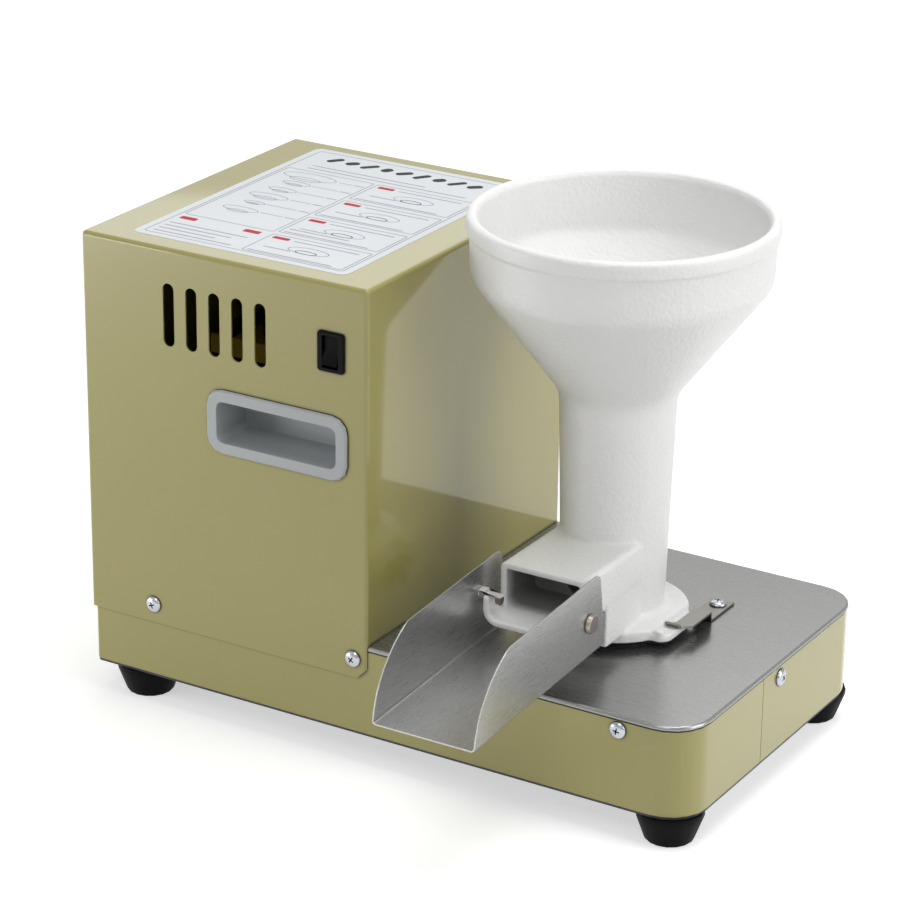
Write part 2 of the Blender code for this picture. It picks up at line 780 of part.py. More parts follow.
def make_deck():
    """The pressed pan that the motor, the bearing housing and the plate are fixed to."""
    side = SKIRT_SHEET + GAP
    foot = DECK_TOP - DECK_FLANGE
    layers = (
        (base_outline(side), foot),
        (base_outline(side), DECK_TOP - DECK_SHEET),
        (base_outline(side + DECK_SHEET / 2), DECK_TOP),
    )
    deck = piece("deck", stack(bmesh.new(), layers), "zinc")
    inside = base_outline(side + DECK_SHEET)
    carve(deck, prism(bmesh.new(), inside, foot - OVERRUN, DECK_UNDER))
    low = DECK_UNDER - OVERRUN
    high = DECK_TOP + OVERRUN
    small = SCREW_SHANK_RADIUS + GAP
    latches = [place for place, turn in latch_places().values()]
    carve(deck, holes(small, low, high, motor_bolt_places() + housing_bolt_places() + latches))
    carve(deck, holes(SMALL_RADIUS + GAP, low, high, [(MOTOR_X, MIDDLE_Y)], steps=INNER_STEPS))
    carve(deck, holes(NOSE_RADIUS + GAP, low, high, [(HOPPER_X, MIDDLE_Y)], steps=INNER_STEPS))
    slot = slot_outline(DECK_SLOT_LENGTH, DECK_SLOT_WIDTH, DECK_SLOT_IN, MIDDLE_Y)
    carve(deck, prism(bmesh.new(), slot, low, high))
    walls = wall_screw_places()
    inner = side + DECK_SHEET + OVERRUN
    carve(deck, holes(small, side - OVERRUN, inner, walls, "xzy"))
    carve(deck, holes(small, BASE_DEPTH - inner, BASE_DEPTH - side + OVERRUN, walls, "xzy"))
    carve(deck, holes(small, BASE_LENGTH - inner, BASE_LENGTH - side + OVERRUN, [side_screw()], "yzx"))


def plate_outline(inset):
    """The top plate beside the cover: its left edge stays, and the other three take the inset."""
    left = COVER_LENGTH - COVER_LAP + GAP
    right = BASE_LENGTH + PLATE_LAP - inset
    front = -PLATE_LAP + inset
    back = BASE_DEPTH + PLATE_LAP - inset
    radius = RIGHT_CORNER + PLATE_LAP - inset
    steps = LARGE_ROUND_STEPS
    return (
        [(left, front)]
        + arc(right - radius, front + radius, radius, 3, 4, steps)
        + arc(right - radius, back - radius, radius, 0, 1, steps)
        + [(left, back)]
    )


def make_top_plate():
    """The stainless plate with its rolled edge."""
    roll = arc(0.0, 0.0, PLATE_ROLL, 0, 1, ROUND_STEPS)
    layers = [(plate_outline(0.0), LIP_BOTTOM)]
    layers += [(plate_outline(PLATE_ROLL - x), PLATE_TOP - PLATE_ROLL + z) for x, z in roll]
    plate = piece("top_plate", stack(bmesh.new(), layers), "stainless")
    low = LIP_BOTTOM - OVERRUN
    under = [(x - OVERRUN if i in (0, 1) else x, y) for i, (x, y) in enumerate(under_outline())]
    carve(plate, prism(bmesh.new(), under, low, PLATE_UNDER))
    nose = [(HOPPER_X, MIDDLE_Y)]
    carve(plate, holes(NOSE_RADIUS + GAP, low, PLATE_TOP + OVERRUN, nose, steps=INNER_STEPS))
    latches = [place for place, turn in latch_places().values()]
    carve(plate, holes(SCREW_SHANK_RADIUS + GAP, low, PLATE_TOP + OVERRUN, latches))


def under_outline():
    """The hollow under the plate, its two left corners first."""
    outline = plate_outline(PLATE_SHEET)
    return [outline[-1], outline[0]] + outline[1:-1]


def foot_profile():
    """A rubber foot with the stem and barb that snap through the bottom plate."""
    sole = -FOOT_HEIGHT
    barb = FLOOR_SHEET + GAP
    corners = (
        (0.0, sole, 0.0),
        (FOOT_TREAD_RADIUS, sole, FOOT_ROUND),
        (FOOT_TOP_RADIUS, -FOOT_RIM, 0.0),
        (FOOT_TOP_RADIUS, -GAP, 0.0),
        (FOOT_STEM_RADIUS, -GAP, 0.0),
        (FOOT_STEM_RADIUS, barb, 0.0),
        (FOOT_BARB_RADIUS, barb, 0.0),
        (FOOT_STEM_RADIUS, barb + FOOT_BARB_HEIGHT, 0.0),
        (0.0, barb + FOOT_BARB_HEIGHT, 0.0),
    )
    return rounded(corners, SMALL_ROUND_STEPS)


def make_feet():
    for name, (x, y) in foot_places().items():
        piece(name, spin(bmesh.new(), foot_profile(), INNER_STEPS), "rubber", (x, y, 0.0))


def screw_profile(length, head_radius=SCREW_HEAD_RADIUS):
    """A domed screw with its head above level 0."""
    shoulder = head_radius * math.sqrt(0.5)
    return (
        (0.0, SCREW_HEAD_HEIGHT),
        (shoulder, SCREW_HEAD_HEIGHT * math.sqrt(0.5)),
        (head_radius, 0.0),
        (SCREW_SHANK_RADIUS, 0.0),
        (SCREW_SHANK_RADIUS, -length),
        (0.0, -length),
    )


def make_screw(name, place, face, outward, axes, length, head_radius=SCREW_HEAD_RADIUS):
    """One screw whose head sits on a face and points outward along the third named axis."""
    profile = [(r, face + outward * z) for r, z in screw_profile(length, head_radius)]
    piece(name, spin(bmesh.new(), profile, HOLE_STEPS, axes, place), "zinc")


def make_screws():
    left, right, skirt = wall_screw_places()
    cover_front = -COVER_LAP - GAP
    cover_back = BASE_DEPTH + COVER_LAP + GAP
    make_screw("cover_screw_front_left", left, cover_front, -1, "xzy", SCREW_LENGTH)
    make_screw("cover_screw_front_right", right, cover_front, -1, "xzy", SCREW_LENGTH)
    make_screw("cover_screw_back_left", left, cover_back, 1, "xzy", SCREW_LENGTH)
    make_screw("cover_screw_back_right", right, cover_back, 1, "xzy", SCREW_LENGTH)
    make_screw("skirt_screw_front", skirt, -GAP, -1, "xzy", SCREW_LENGTH)
    make_screw("skirt_screw_back", skirt, BASE_DEPTH + GAP, 1, "xzy", SCREW_LENGTH)
    make_screw("skirt_screw_side", side_screw(), BASE_LENGTH + GAP, 1, "yzx", SCREW_LENGTH)
    head = PLATE_TOP + LATCH_SHEET + 2 * GAP
    for name, (place, turn) in latch_places().items():
        make_screw(name + "_screw", place, head, 1, "xyz", SCREW_LENGTH)
    for i, (x, y) in enumerate(motor_bolt_places()):
        on_strap = abs(x - MOTOR_X) < STRAP_LENGTH / 2
        head = STRAP_BASE + STRAP_SHEET + GAP if on_strap else STRAP_BASE
        reach = head - DECK_UNDER + NUT_REACH
        make_screw(f"motor_bolt_{i + 1}", (x, y), head, 1, "xyz", reach, BOLT_HEAD_RADIUS)
    head = HOUSING_TOP - HOUSING_FLANGE - GAP
    reach = HOUSING_FLANGE + DECK_SHEET + 2 * GAP
    for i, place in enumerate(housing_bolt_places()):
        make_screw(f"housing_bolt_{i + 1}", place, head, -1, "xyz", reach, BOLT_HEAD_RADIUS)


# Motor cover and what it carries

def cover_x(distance):
    """An x value at a distance from the cover's left face."""
    return distance - COVER_LAP


def from_cover_right(distance):
    """An x value at a distance from the cover's right face."""
    return cover_x(COVER_LENGTH - distance)


def cover_outline(inset):
    """The cover seen from above with its round corners, drawn in by an inset."""
    length = COVER_LENGTH - 2 * inset
    depth = BASE_DEPTH + 2 * COVER_LAP - 2 * inset
    middle = cover_x(COVER_LENGTH / 2)
    return round_rectangle(length, depth, max(COVER_BEND - inset, 0.0), middle, MIDDLE_Y)


def make_motor_cover():
    """The folded cover: a box with round bends, open below, cut for vents, switch, handles and cord."""
    front = -COVER_LAP
    back = BASE_DEPTH + COVER_LAP
    right = from_cover_right(0.0)
    layers = [(cover_outline(0.0), COVER_BOTTOM)]
    for inset, rise in arc(COVER_BEND, 0.0, COVER_BEND, 2, 1, ROUND_STEPS):
        layers.append((cover_outline(inset), COVER_TOP - COVER_BEND + rise))
    cover = piece("motor_cover", stack(bmesh.new(), layers), "olive_paint")
    inside_low = (-COVER_LAP + COVER_SHEET, front + COVER_SHEET, COVER_BOTTOM - OVERRUN)
    inside_high = (right - COVER_SHEET, back - COVER_SHEET, COVER_TOP - COVER_SHEET)
    hollow = block(bmesh.new(), inside_low, inside_high)
    bends = [e for e in hollow.edges if max(v.co.z for v in e.verts) > COVER_BOTTOM]
    round_edges(hollow, bends, COVER_BEND - COVER_SHEET, 1)
    carve(cover, hollow)
    inner = COVER_SHEET + GAP / 2
    step_low = (inside_high[0] - COVER_BEND, front + inner, COVER_BOTTOM - OVERRUN)
    step_high = (right + OVERRUN, back - inner, DECK_TOP + GAP)
    carve(cover, block(bmesh.new(), step_low, step_high))
    wedge = (
        (right - COVER_CORNER_CUT, COVER_BOTTOM),
        (right - COVER_CORNER_CUT, COVER_BOTTOM - OVERRUN),
        (right + OVERRUN, COVER_BOTTOM - OVERRUN),
        (right + OVERRUN, COVER_BOTTOM + COVER_CORNER_CUT),
        (right, COVER_BOTTOM + COVER_CORNER_CUT),
    )
    carve(cover, prism(bmesh.new(), wedge, front - OVERRUN, back + OVERRUN, "xzy"))
    for low, high in ((front - OVERRUN, front + OVERRUN), (back - OVERRUN, back + OVERRUN)):
        carve(cover, wall_cuts(low, high))
    low, high = front - OVERRUN, front + OVERRUN
    opening = round_rectangle(
        SWITCH_BODY_WIDTH + 2 * GAP, SWITCH_BODY_HEIGHT + 2 * GAP, BEZEL_ROUND, *switch_place(), steps=1
    )
    carve(cover, prism(bmesh.new(), opening, low, high, "xzy"))
    low, high = back - OVERRUN, back + OVERRUN
    carve(cover, holes(GLAND_BODY_RADIUS + GAP, low, high, [gland_place()], "xzy", INNER_STEPS))


def wall_cuts(low, high):
    """The cuts that the cover's front and back walls share: vents, handle and screw holes."""
    tool = bmesh.new()
    for i in range(VENTS):
        x = cover_x(VENT_START + i * VENT_PITCH)
        prism(tool, slot_outline(VENT_LENGTH, VENT_WIDTH, x, COVER_TOP - VENT_DROP), low, high, "xzy")
    length = HANDLE_BODY_LENGTH + 2 * GAP
    height = HANDLE_BODY_HEIGHT + 2 * GAP
    prism(tool, round_rectangle(length, height, HANDLE_MOUTH_ROUND, *handle_place()), low, high, "xzy")
    for x in (cover_x(COVER_SCREW_LEFT), from_cover_right(COVER_SCREW_FROM_RIGHT)):
        prism(tool, circle(SCREW_SHANK_RADIUS + GAP, HOLE_STEPS, x, SCREW_Z), low, high, "xzy")
    return tool


def switch_place():
    return (from_cover_right(SWITCH_FROM_RIGHT), COVER_TOP - SWITCH_DROP)


def handle_place():
    return (from_cover_right(HANDLE_FROM_RIGHT), COVER_TOP - HANDLE_DROP)


def gland_place():
    return (cover_x(GLAND_IN), COVER_BOTTOM + GLAND_RISE)


def make_handle_cup(name, face, outward):
    """A moulded cup with a rim on the panel and a pocket for the fingers."""
    x, z = handle_place()

    def level(depth):
        return face - outward * depth

    rim = -HANDLE_PROUD - GAP
    inner_rim = HANDLE_LENGTH - 2 * HANDLE_RIM_ROUND, HANDLE_HEIGHT - 2 * HANDLE_RIM_ROUND
    body = HANDLE_BODY_LENGTH, HANDLE_BODY_HEIGHT
    foot = HANDLE_BODY_LENGTH - 2 * HANDLE_DRAFT, HANDLE_BODY_HEIGHT - 2 * HANDLE_DRAFT
    layers = (
        (round_rectangle(*inner_rim, HANDLE_ROUND - HANDLE_RIM_ROUND, x, z), level(rim)),
        (round_rectangle(HANDLE_LENGTH, HANDLE_HEIGHT, HANDLE_ROUND, x, z), level(rim + HANDLE_RIM_ROUND)),
        (round_rectangle(HANDLE_LENGTH, HANDLE_HEIGHT, HANDLE_ROUND, x, z), level(-GAP)),
        (round_rectangle(*body, HANDLE_MOUTH_ROUND, x, z), level(-GAP)),
        (round_rectangle(*foot, HANDLE_MOUTH_ROUND, x, z), level(HANDLE_DEPTH)),
    )
    cup = piece(name, stack(bmesh.new(), layers, "xzy"), "grey_plastic")
    mouth = HANDLE_MOUTH_LENGTH, HANDLE_MOUTH_HEIGHT
    floor = foot[0] - 2 * HANDLE_WALL, foot[1] - 2 * HANDLE_WALL
    pocket = (
        (round_rectangle(*mouth, HANDLE_MOUTH_ROUND, x, z), level(rim - OVERRUN)),
        (round_rectangle(*mouth, HANDLE_MOUTH_ROUND, x, z), level(0.0)),
        (round_rectangle(*floor, HANDLE_MOUTH_ROUND, x, z), level(HANDLE_DEPTH - HANDLE_WALL)),
    )
    carve(cup, stack(bmesh.new(), pocket, "xzy"))


def make_switch():
    """The housing behind its bezel, with a well for the rocker and two blades for the leads."""
    x, z = switch_place()
    face = -COVER_LAP
    proud = face - GAP - BEZEL_PROUD
    back = face + SWITCH_BODY_DEPTH
    bezel = round_rectangle(BEZEL_WIDTH, BEZEL_HEIGHT, BEZEL_ROUND, x, z, 1)
    front = round_rectangle(
        BEZEL_WIDTH - BEZEL_ROUND, BEZEL_HEIGHT - BEZEL_ROUND, BEZEL_ROUND / 2, x, z, 1
    )
    body = round_rectangle(SWITCH_BODY_WIDTH, SWITCH_BODY_HEIGHT, BEZEL_ROUND, x, z, 1)
    layers = (
        (front, proud),
        (bezel, proud + BEZEL_ROUND / 2),
        (bezel, face - GAP),
        (body, face - GAP),
        (body, back),
    )
    switch = piece("switch_housing", stack(bmesh.new(), layers, "xzy"), "black_plastic")
    half_x = ROCKER_WIDTH / 2 + GAP
    well_back = face + ROCKER_PIVOT_IN + ROCKER_FOOT + ROCKER_FOOT
    low = (x - half_x, proud - OVERRUN, z - ROCKER_WELL_HALF)
    high = (x + half_x, well_back, z + ROCKER_WELL_HALF)
    carve(switch, block(bmesh.new(), low, high))
    blades = bmesh.new()
    for side in (-1, 1):
        blade_z = z + side * SWITCH_BODY_HEIGHT / 4
        low = (x - BLADE_WIDTH / 2, back - BLADE_SHEET, blade_z - BLADE_SHEET / 2)
        high = (x + BLADE_WIDTH / 2, back + BLADE_LENGTH, blade_z + BLADE_SHEET / 2)
        block(blades, low, high)
    carve(switch, blades, "UNION")


def make_rocker():
    """The paddle, tilted with its top pressed in and turning about its pivot."""
    x, z = switch_place()
    edge = ROCKER_RIDGE + ROCKER_HALF * math.tan(ROCKER_TILT)
    outline = (
        (-edge, ROCKER_HALF),
        (-ROCKER_RIDGE, 0.0),
        (-edge, -ROCKER_HALF),
        (0.0, -ROCKER_HALF),
        (ROCKER_FOOT, -ROCKER_HALF / 2),
        (ROCKER_FOOT, ROCKER_HALF / 2),
        (0.0, ROCKER_HALF),
    )
    cos, sin = math.cos(ROCKER_TILT), math.sin(ROCKER_TILT)
    tilted = [(y * cos + h * sin, h * cos - y * sin) for y, h in outline]
    bm = prism(bmesh.new(), tilted, -ROCKER_WIDTH / 2, ROCKER_WIDTH / 2, "yzx")
    piece("switch_rocker", bm, "black_plastic", (x, -COVER_LAP + ROCKER_PIVOT_IN, z))


def make_cord_gland():
    """The snap-in cord inlet of the back wall, its collar outside, its barb inside and its bore open."""
    face = BASE_DEPTH + COVER_LAP
    inner = face - COVER_SHEET
    profile = (
        (GLAND_BORE_RADIUS, inner - GLAND_INSIDE),
        (GLAND_BODY_RADIUS, inner - GLAND_INSIDE),
        (GLAND_BARB_RADIUS, inner - GAP - GLAND_BARB),
        (GLAND_BARB_RADIUS, inner - GAP),
        (GLAND_BODY_RADIUS, inner - GAP),
        (GLAND_BODY_RADIUS, face + GAP),
        (GLAND_COLLAR_RADIUS, face + GAP),
        (GLAND_COLLAR_RADIUS, face + GAP + GLAND_COLLAR),
        (GLAND_BODY_RADIUS, face + GLAND_PROUD),
        (GLAND_BORE_RADIUS, face + GLAND_PROUD),
    )
    piece("cord_gland", spin(bmesh.new(), profile, INNER_STEPS, "xzy", gland_place()), "black_plastic")


def make_wiring_parts():
    """The terminal block by the cord inlet, and the motor's capacitor in its holder."""
    x = gland_place()[0]
    back = BASE_DEPTH - BLOCK_FROM_BACK
    base = DECK_TOP + GAP
    steps = (
        (back - BLOCK_DEPTH, base),
        (back, base),
        (back, base + BLOCK_HEIGHT - BLOCK_STEP),
        (back - BLOCK_STEP, base + BLOCK_HEIGHT),
        (back - BLOCK_DEPTH + BLOCK_STEP, base + BLOCK_HEIGHT),
        (back - BLOCK_DEPTH, base + BLOCK_HEIGHT - BLOCK_STEP),
    )
    bm = prism(bmesh.new(), steps, x - BLOCK_LENGTH / 2, x + BLOCK_LENGTH / 2, "yzx")
    piece("terminal_block", bm, "black_plastic")
    inner = CAN_RADIUS + GAP
    foot = inner + CUP_WALL + CUP_FOOT
    place = (from_cover_right(COVER_SHEET + CAN_CLEARANCE + foot), BASE_DEPTH - CAN_FROM_BACK, base)
    cup = (
        (0.0, 0.0),
        (foot, 0.0),
        (foot, CUP_WALL),
        (inner + CUP_WALL, CUP_WALL),
        (inner + CUP_WALL, CUP_HEIGHT),
        (inner, CUP_HEIGHT),
        (inner, CUP_WALL),
        (0.0, CUP_WALL),
    )
    piece("capacitor_holder", spin(bmesh.new(), cup, INNER_STEPS), "black_plastic", place)
    low = CUP_WALL + GAP
    can = (
        (0.0, low),
        (CAN_RADIUS, low),
        (CAN_RADIUS, low + CAN_HEIGHT - CAN_CROWN),
        (CAN_RADIUS - CAN_CROWN, low + CAN_HEIGHT),
        (0.0, low + CAN_HEIGHT),
    )
    piece("capacitor", spin(bmesh.new(), can, INNER_STEPS), "aluminium", place)


# Motor

def end_cover(outward):
    """An end cover's closed profile: a dish with a seat for its bearing, turned by its sign."""
    bore = SHAFT_RADIUS + 2 * AIR_RING
    seat = MOTOR_BEARING_RADIUS + GAP
    boss = seat + BEARING_WALL
    seat_level = SEAT_LIP
    boss_top = SEAT_LIP + MOTOR_BEARING_WIDTH
    wall = MOTOR_RADIUS - END_WALL
    profile = (
        (bore, 0.0),
        (END_FLANGE_RADIUS, 0.0),
        (END_FLANGE_RADIUS, END_FLOOR),
        (MOTOR_RADIUS, END_FLOOR),
        (MOTOR_RADIUS, END_DEPTH),
        (wall, END_DEPTH),
        (wall, END_FLOOR),
        (boss, END_FLOOR),
        (boss, boss_top),
        (seat, boss_top),
        (seat, seat_level),
        (bore, seat_level),
    )
    return [(r, -outward * z) for r, z in profile]


def bearing(inner, outer, width):
    return ((inner, 0.0), (outer, 0.0), (outer, width), (inner, width))


def make_motor():
    """The motor from its foot up: end covers, ribbed stator, bearings, bolts and top strap."""
    centre = (MOTOR_X, MIDDLE_Y)
    bolts = [(x - MOTOR_X, y - MIDDLE_Y) for x, y in motor_bolt_places()]
    reach = END_FLOOR + OVERRUN
    for name, base, outward in (
        ("motor_lower_end", MOTOR_BASE, -1),
        ("motor_upper_end", MOTOR_TOP, 1),
    ):
        dish = spin(bmesh.new(), end_cover(outward), INNER_STEPS)
        cover = piece(name, dish, "cast_iron", (*centre, base))
        carve(cover, holes(SCREW_SHANK_RADIUS + GAP, -reach, reach, bolts))
    ribs = []
    for i in range(MOTOR_RIBS):
        middle = 2 * math.pi * i / MOTOR_RIBS
        half = math.pi / MOTOR_RIBS / 2
        for radius, angle in (
            (MOTOR_RADIUS, middle - half),
            (MOTOR_RADIUS + MOTOR_RIB, middle - half / 2),
            (MOTOR_RADIUS + MOTOR_RIB, middle + half / 2),
            (MOTOR_RADIUS, middle + half),
        ):
            ribs.append((radius * math.cos(angle), radius * math.sin(angle)))
    bore = circle(STATOR_BORE, len(ribs), turn=-math.pi / MOTOR_RIBS / 2)
    rings = []
    for outline, level in ((ribs, 0.0), (ribs, STATOR_HEIGHT), (bore, STATOR_HEIGHT), (bore, 0.0)):
        rings.append([(x, y, level) for x, y in outline])
    stator = loft(bmesh.new(), rings, closed=True)
    piece("motor_stator", stator, "cast_iron", (*centre, STATOR_BASE))
    ring = bearing(SHAFT_RADIUS + GAP, MOTOR_BEARING_RADIUS, MOTOR_BEARING_WIDTH - GAP)
    low = MOTOR_BASE + SEAT_LIP + GAP
    high = MOTOR_TOP - SEAT_LIP - MOTOR_BEARING_WIDTH
    piece("motor_lower_bearing", spin(bmesh.new(), ring, INNER_STEPS), "tool_steel", (*centre, low))
    piece("motor_upper_bearing", spin(bmesh.new(), ring, INNER_STEPS), "tool_steel", (*centre, high))


def make_rotor():
    """The turning shaft with its laminated drum, from the belt pulley up to the fan."""
    base = BELT_PLANE - SMALL_HUB_HEIGHT / 2 - SHAFT_TIP
    drum = STATOR_BORE - AIR_RING
    drum_low = STATOR_BASE + ROTOR_MARGIN
    drum_high = STATOR_TOP - ROTOR_MARGIN
    top = FAN_BASE + FAN_DISC + FAN_HEIGHT + SHAFT_TIP
    profile = (
        (0.0, base),
        (SHAFT_RADIUS, base),
        (SHAFT_RADIUS, drum_low),
        (drum, drum_low),
        (drum, drum_high),
        (SHAFT_RADIUS, drum_high),
        (SHAFT_RADIUS, top),
        (0.0, top),
    )
    piece("motor_rotor", spin(bmesh.new(), profile, INNER_STEPS), "tool_steel", (MOTOR_X, MIDDLE_Y, 0.0))


def make_motor_strap():
    """The yellow strap over the motor's top, its turned-up edges seen through the vents."""
    half_x = STRAP_LENGTH / 2
    half_y = STRAP_DEPTH / 2
    section = (
        (-half_y, 0.0),
        (half_y, 0.0),
        (half_y, STRAP_FLANGE),
        (half_y - STRAP_SHEET, STRAP_FLANGE),
        (half_y - STRAP_SHEET, STRAP_SHEET),
        (-half_y + STRAP_SHEET, STRAP_SHEET),
        (-half_y + STRAP_SHEET, STRAP_FLANGE),
        (-half_y, STRAP_FLANGE),
    )
    bm = prism(bmesh.new(), section, -half_x, half_x, "yzx")
    strap = piece("motor_strap", bm, "yellow_zinc", (MOTOR_X, MIDDLE_Y, STRAP_BASE))
    hole = SHAFT_RADIUS + 2 * AIR_RING
    carve(strap, holes(hole, -OVERRUN, STRAP_SHEET + OVERRUN, [(0.0, 0.0)], steps=INNER_STEPS))
    bolts = [(x - MOTOR_X, y - MIDDLE_Y) for x, y in motor_bolt_places()]
    bolts = [(x, y) for x, y in bolts if abs(x) < half_x]
    carve(strap, holes(SCREW_SHANK_RADIUS + GAP, -OVERRUN, STRAP_SHEET + OVERRUN, bolts))


def make_fan():
    """A disc with upright vanes, all in one moulding, on the shaft."""
    vanes = arms_outline(FAN_BLADES, FAN_HUB, FAN_RADIUS, FAN_BLADE, FAN_BLADE / 2, 0.0)
    bm = prism(bmesh.new(), vanes, FAN_DISC / 2, FAN_DISC + FAN_HEIGHT)
    fan = piece("motor_fan", bm, "black_plastic", (MOTOR_X, MIDDLE_Y, FAN_BASE))
    disc = prism(bmesh.new(), circle(FAN_RADIUS + FAN_BLADE, PULLEY_STEPS), 0.0, FAN_DISC)
    carve(fan, disc, "UNION")
    top = FAN_DISC + FAN_HEIGHT + OVERRUN
    bore = holes(SHAFT_RADIUS + GAP, -OVERRUN, top, [(0.0, 0.0)], steps=INNER_STEPS)
    carve(fan, bore)


# Belt drive

def groove(radius):
    """The V groove of a pulley, from its lower lip to its upper lip, about level 0."""
    slope = (BELT_TOP_HALF - BELT_BASE_HALF) / BELT_DEPTH
    mouth = BELT_TOP_HALF + GAP + slope * GROOVE_LIP
    floor_radius = radius - GROOVE_LIP - BELT_DEPTH - GROOVE_SPARE
    floor = BELT_BASE_HALF + GAP - slope * GROOVE_SPARE
    edge = mouth + GROOVE_LIP
    return (
        (radius, -edge),
        (radius, -mouth),
        (floor_radius, -floor),
        (floor_radius, floor),
        (radius, mouth),
        (radius, edge),
    )


def make_motor_pulley():
    half = SMALL_HUB_HEIGHT / 2
    bore = SHAFT_RADIUS + GAP
    floor_radius = groove(SMALL_RADIUS)[2][0]
    edge = groove(SMALL_RADIUS)[5][1]
    profile = [(bore, -half), (floor_radius, -half), (floor_radius, -edge)]
    profile += groove(SMALL_RADIUS)
    profile += [(floor_radius, edge), (floor_radius, half), (bore, half)]
    bm = spin(bmesh.new(), profile, INNER_STEPS)
    piece("motor_pulley", bm, "cast_iron", (MOTOR_X, MIDDLE_Y, BELT_PLANE))


def make_drive_pulley():
    """The large cast pulley: grooved rim, thin web with round windows, and hub."""
    half = BIG_HUB_HEIGHT / 2
    bore = DRIVE_RADIUS + GAP
    rim = groove(BIG_RADIUS)
    rim_inner = rim[2][0] - RIM_WALL
    edge = rim[5][1]
    profile = [
        (bore, -half),
        (BIG_HUB_RADIUS, -half),
        (BIG_HUB_RADIUS, -WEB / 2),
        (rim_inner, -WEB / 2),
        (rim_inner, -edge),
    ]
    profile += rim
    profile += [
        (rim_inner, edge),
        (rim_inner, WEB / 2),
        (BIG_HUB_RADIUS, WEB / 2),
        (BIG_HUB_RADIUS, half),
        (bore, half),
    ]
    place = (HOPPER_X, MIDDLE_Y, BELT_PLANE)
    pulley = piece("drive_pulley", spin(bmesh.new(), profile, PULLEY_STEPS), "cast_iron", place)
    window_ring = (BIG_HUB_RADIUS + rim_inner) / 2
    places = circle(window_ring, WINDOWS)
    carve(pulley, holes(WINDOW_RADIUS, -WEB / 2 - OVERRUN, WEB / 2 + OVERRUN, places, steps=WINDOW_STEPS))


def make_belt():
    """The V belt: two arcs joined by its straight runs, with its section swept round them."""
    distance = HOPPER_X - MOTOR_X
    lean = math.asin((BIG_RADIUS - SMALL_RADIUS) / distance)
    big_out = BIG_RADIUS - GROOVE_LIP
    small_out = SMALL_RADIUS - GROOVE_LIP
    section = (
        (-BELT_DEPTH, -BELT_BASE_HALF),
        (0.0, -BELT_TOP_HALF),
        (0.0, BELT_TOP_HALF),
        (-BELT_DEPTH, BELT_BASE_HALF),
    )
    rings = []
    for centre_x, outer, start, sweep, steps in (
        (HOPPER_X, big_out, -math.pi / 2 - lean, math.pi + 2 * lean, BELT_STEPS),
        (MOTOR_X, small_out, math.pi / 2 + lean, math.pi - 2 * lean, BELT_STEPS // 2),
    ):
        for i in range(steps + 1):
            angle = start + sweep * i / steps
            ring = []
            for inward, level in section:
                radius = outer + inward
                x = centre_x + radius * math.cos(angle)
                ring.append((x, MIDDLE_Y + radius * math.sin(angle), BELT_PLANE + level))
            rings.append(ring)
    piece("drive_belt", loft(bmesh.new(), rings, closed=True), "rubber")


# Bearing housing and drive shaft

def bearing_levels():
    """The housing's levels from its flange's top face up and down."""
    nose = NOSE_TOP - HOUSING_TOP
    upper_seat = nose - SEAL_HEIGHT - 2 * GAP - DRIVE_BEARING_WIDTH
    lower_seat = upper_seat - SPACER
    foot = lower_seat - GAP - DRIVE_BEARING_WIDTH
    return nose, upper_seat, lower_seat, foot


def make_bearing_housing():
    """The turned housing: flange under the deck, two bearing seats, and a nose under the hopper."""
    nose, upper_seat, lower_seat, foot = bearing_levels()
    seat = DRIVE_BEARING_SEAT
    spacer_radius = DRIVE_BEARING_RADIUS - BEARING_WALL
    profile = (
        (seat, foot),
        (HOUSING_RADIUS, foot),
        (HOUSING_RADIUS, -HOUSING_FLANGE),
        (HOUSING_FLANGE_RADIUS, -HOUSING_FLANGE),
        (HOUSING_FLANGE_RADIUS, 0.0),
        (NOSE_RADIUS, 0.0),
        (NOSE_RADIUS, nose),
        (seat, nose),
        (seat, upper_seat),
        (spacer_radius, upper_seat),
        (spacer_radius, lower_seat),
        (seat, lower_seat),
    )
    place = (HOPPER_X, MIDDLE_Y, HOUSING_TOP)
    housing = piece("bearing_housing", spin(bmesh.new(), profile, INNER_STEPS), "cast_iron", place)
    bolts = [(x - HOPPER_X, y - MIDDLE_Y) for x, y in housing_bolt_places()]
    carve(housing, holes(SCREW_SHANK_RADIUS + GAP, -HOUSING_FLANGE - OVERRUN, OVERRUN, bolts))
    ring = bearing(DRIVE_RADIUS + GAP, DRIVE_BEARING_RADIUS, DRIVE_BEARING_WIDTH - GAP)
    levels = {"drive_lower_bearing": foot, "drive_upper_bearing": upper_seat + GAP}
    for name, level in levels.items():
        place = (HOPPER_X, MIDDLE_Y, HOUSING_TOP + level)
        piece(name, spin(bmesh.new(), ring, INNER_STEPS), "tool_steel", place)
    seal = bearing(DRIVE_RADIUS + GAP, DRIVE_BEARING_RADIUS, SEAL_HEIGHT)
    place = (HOPPER_X, MIDDLE_Y, NOSE_TOP - SEAL_HEIGHT)
    piece("shaft_seal", spin(bmesh.new(), seal, INNER_STEPS), "rubber", place)


def make_drive_shaft():
    """A round bar with a milled square on top for the knife and the auger."""
    low = BELT_PLANE - BIG_HUB_HEIGHT / 2 - SHAFT_TIP
    shoulder = SEAT_Z + KNIFE_BASE - GAP
    top = SEAT_Z + AUGER_BASE + AUGER_SOCKET - GAP
    bar = circle(DRIVE_RADIUS, SHAFT_STEPS)
    square = square_ring(DRIVE_SQUARE, SHAFT_STEPS)
    layers = ((bar, low), (bar, shoulder), (square, shoulder), (square, top))
    shaft = stack(bmesh.new(), layers)
    piece("drive_shaft", shaft, "stainless", (HOPPER_X, MIDDLE_Y, 0.0))


# Hopper casting

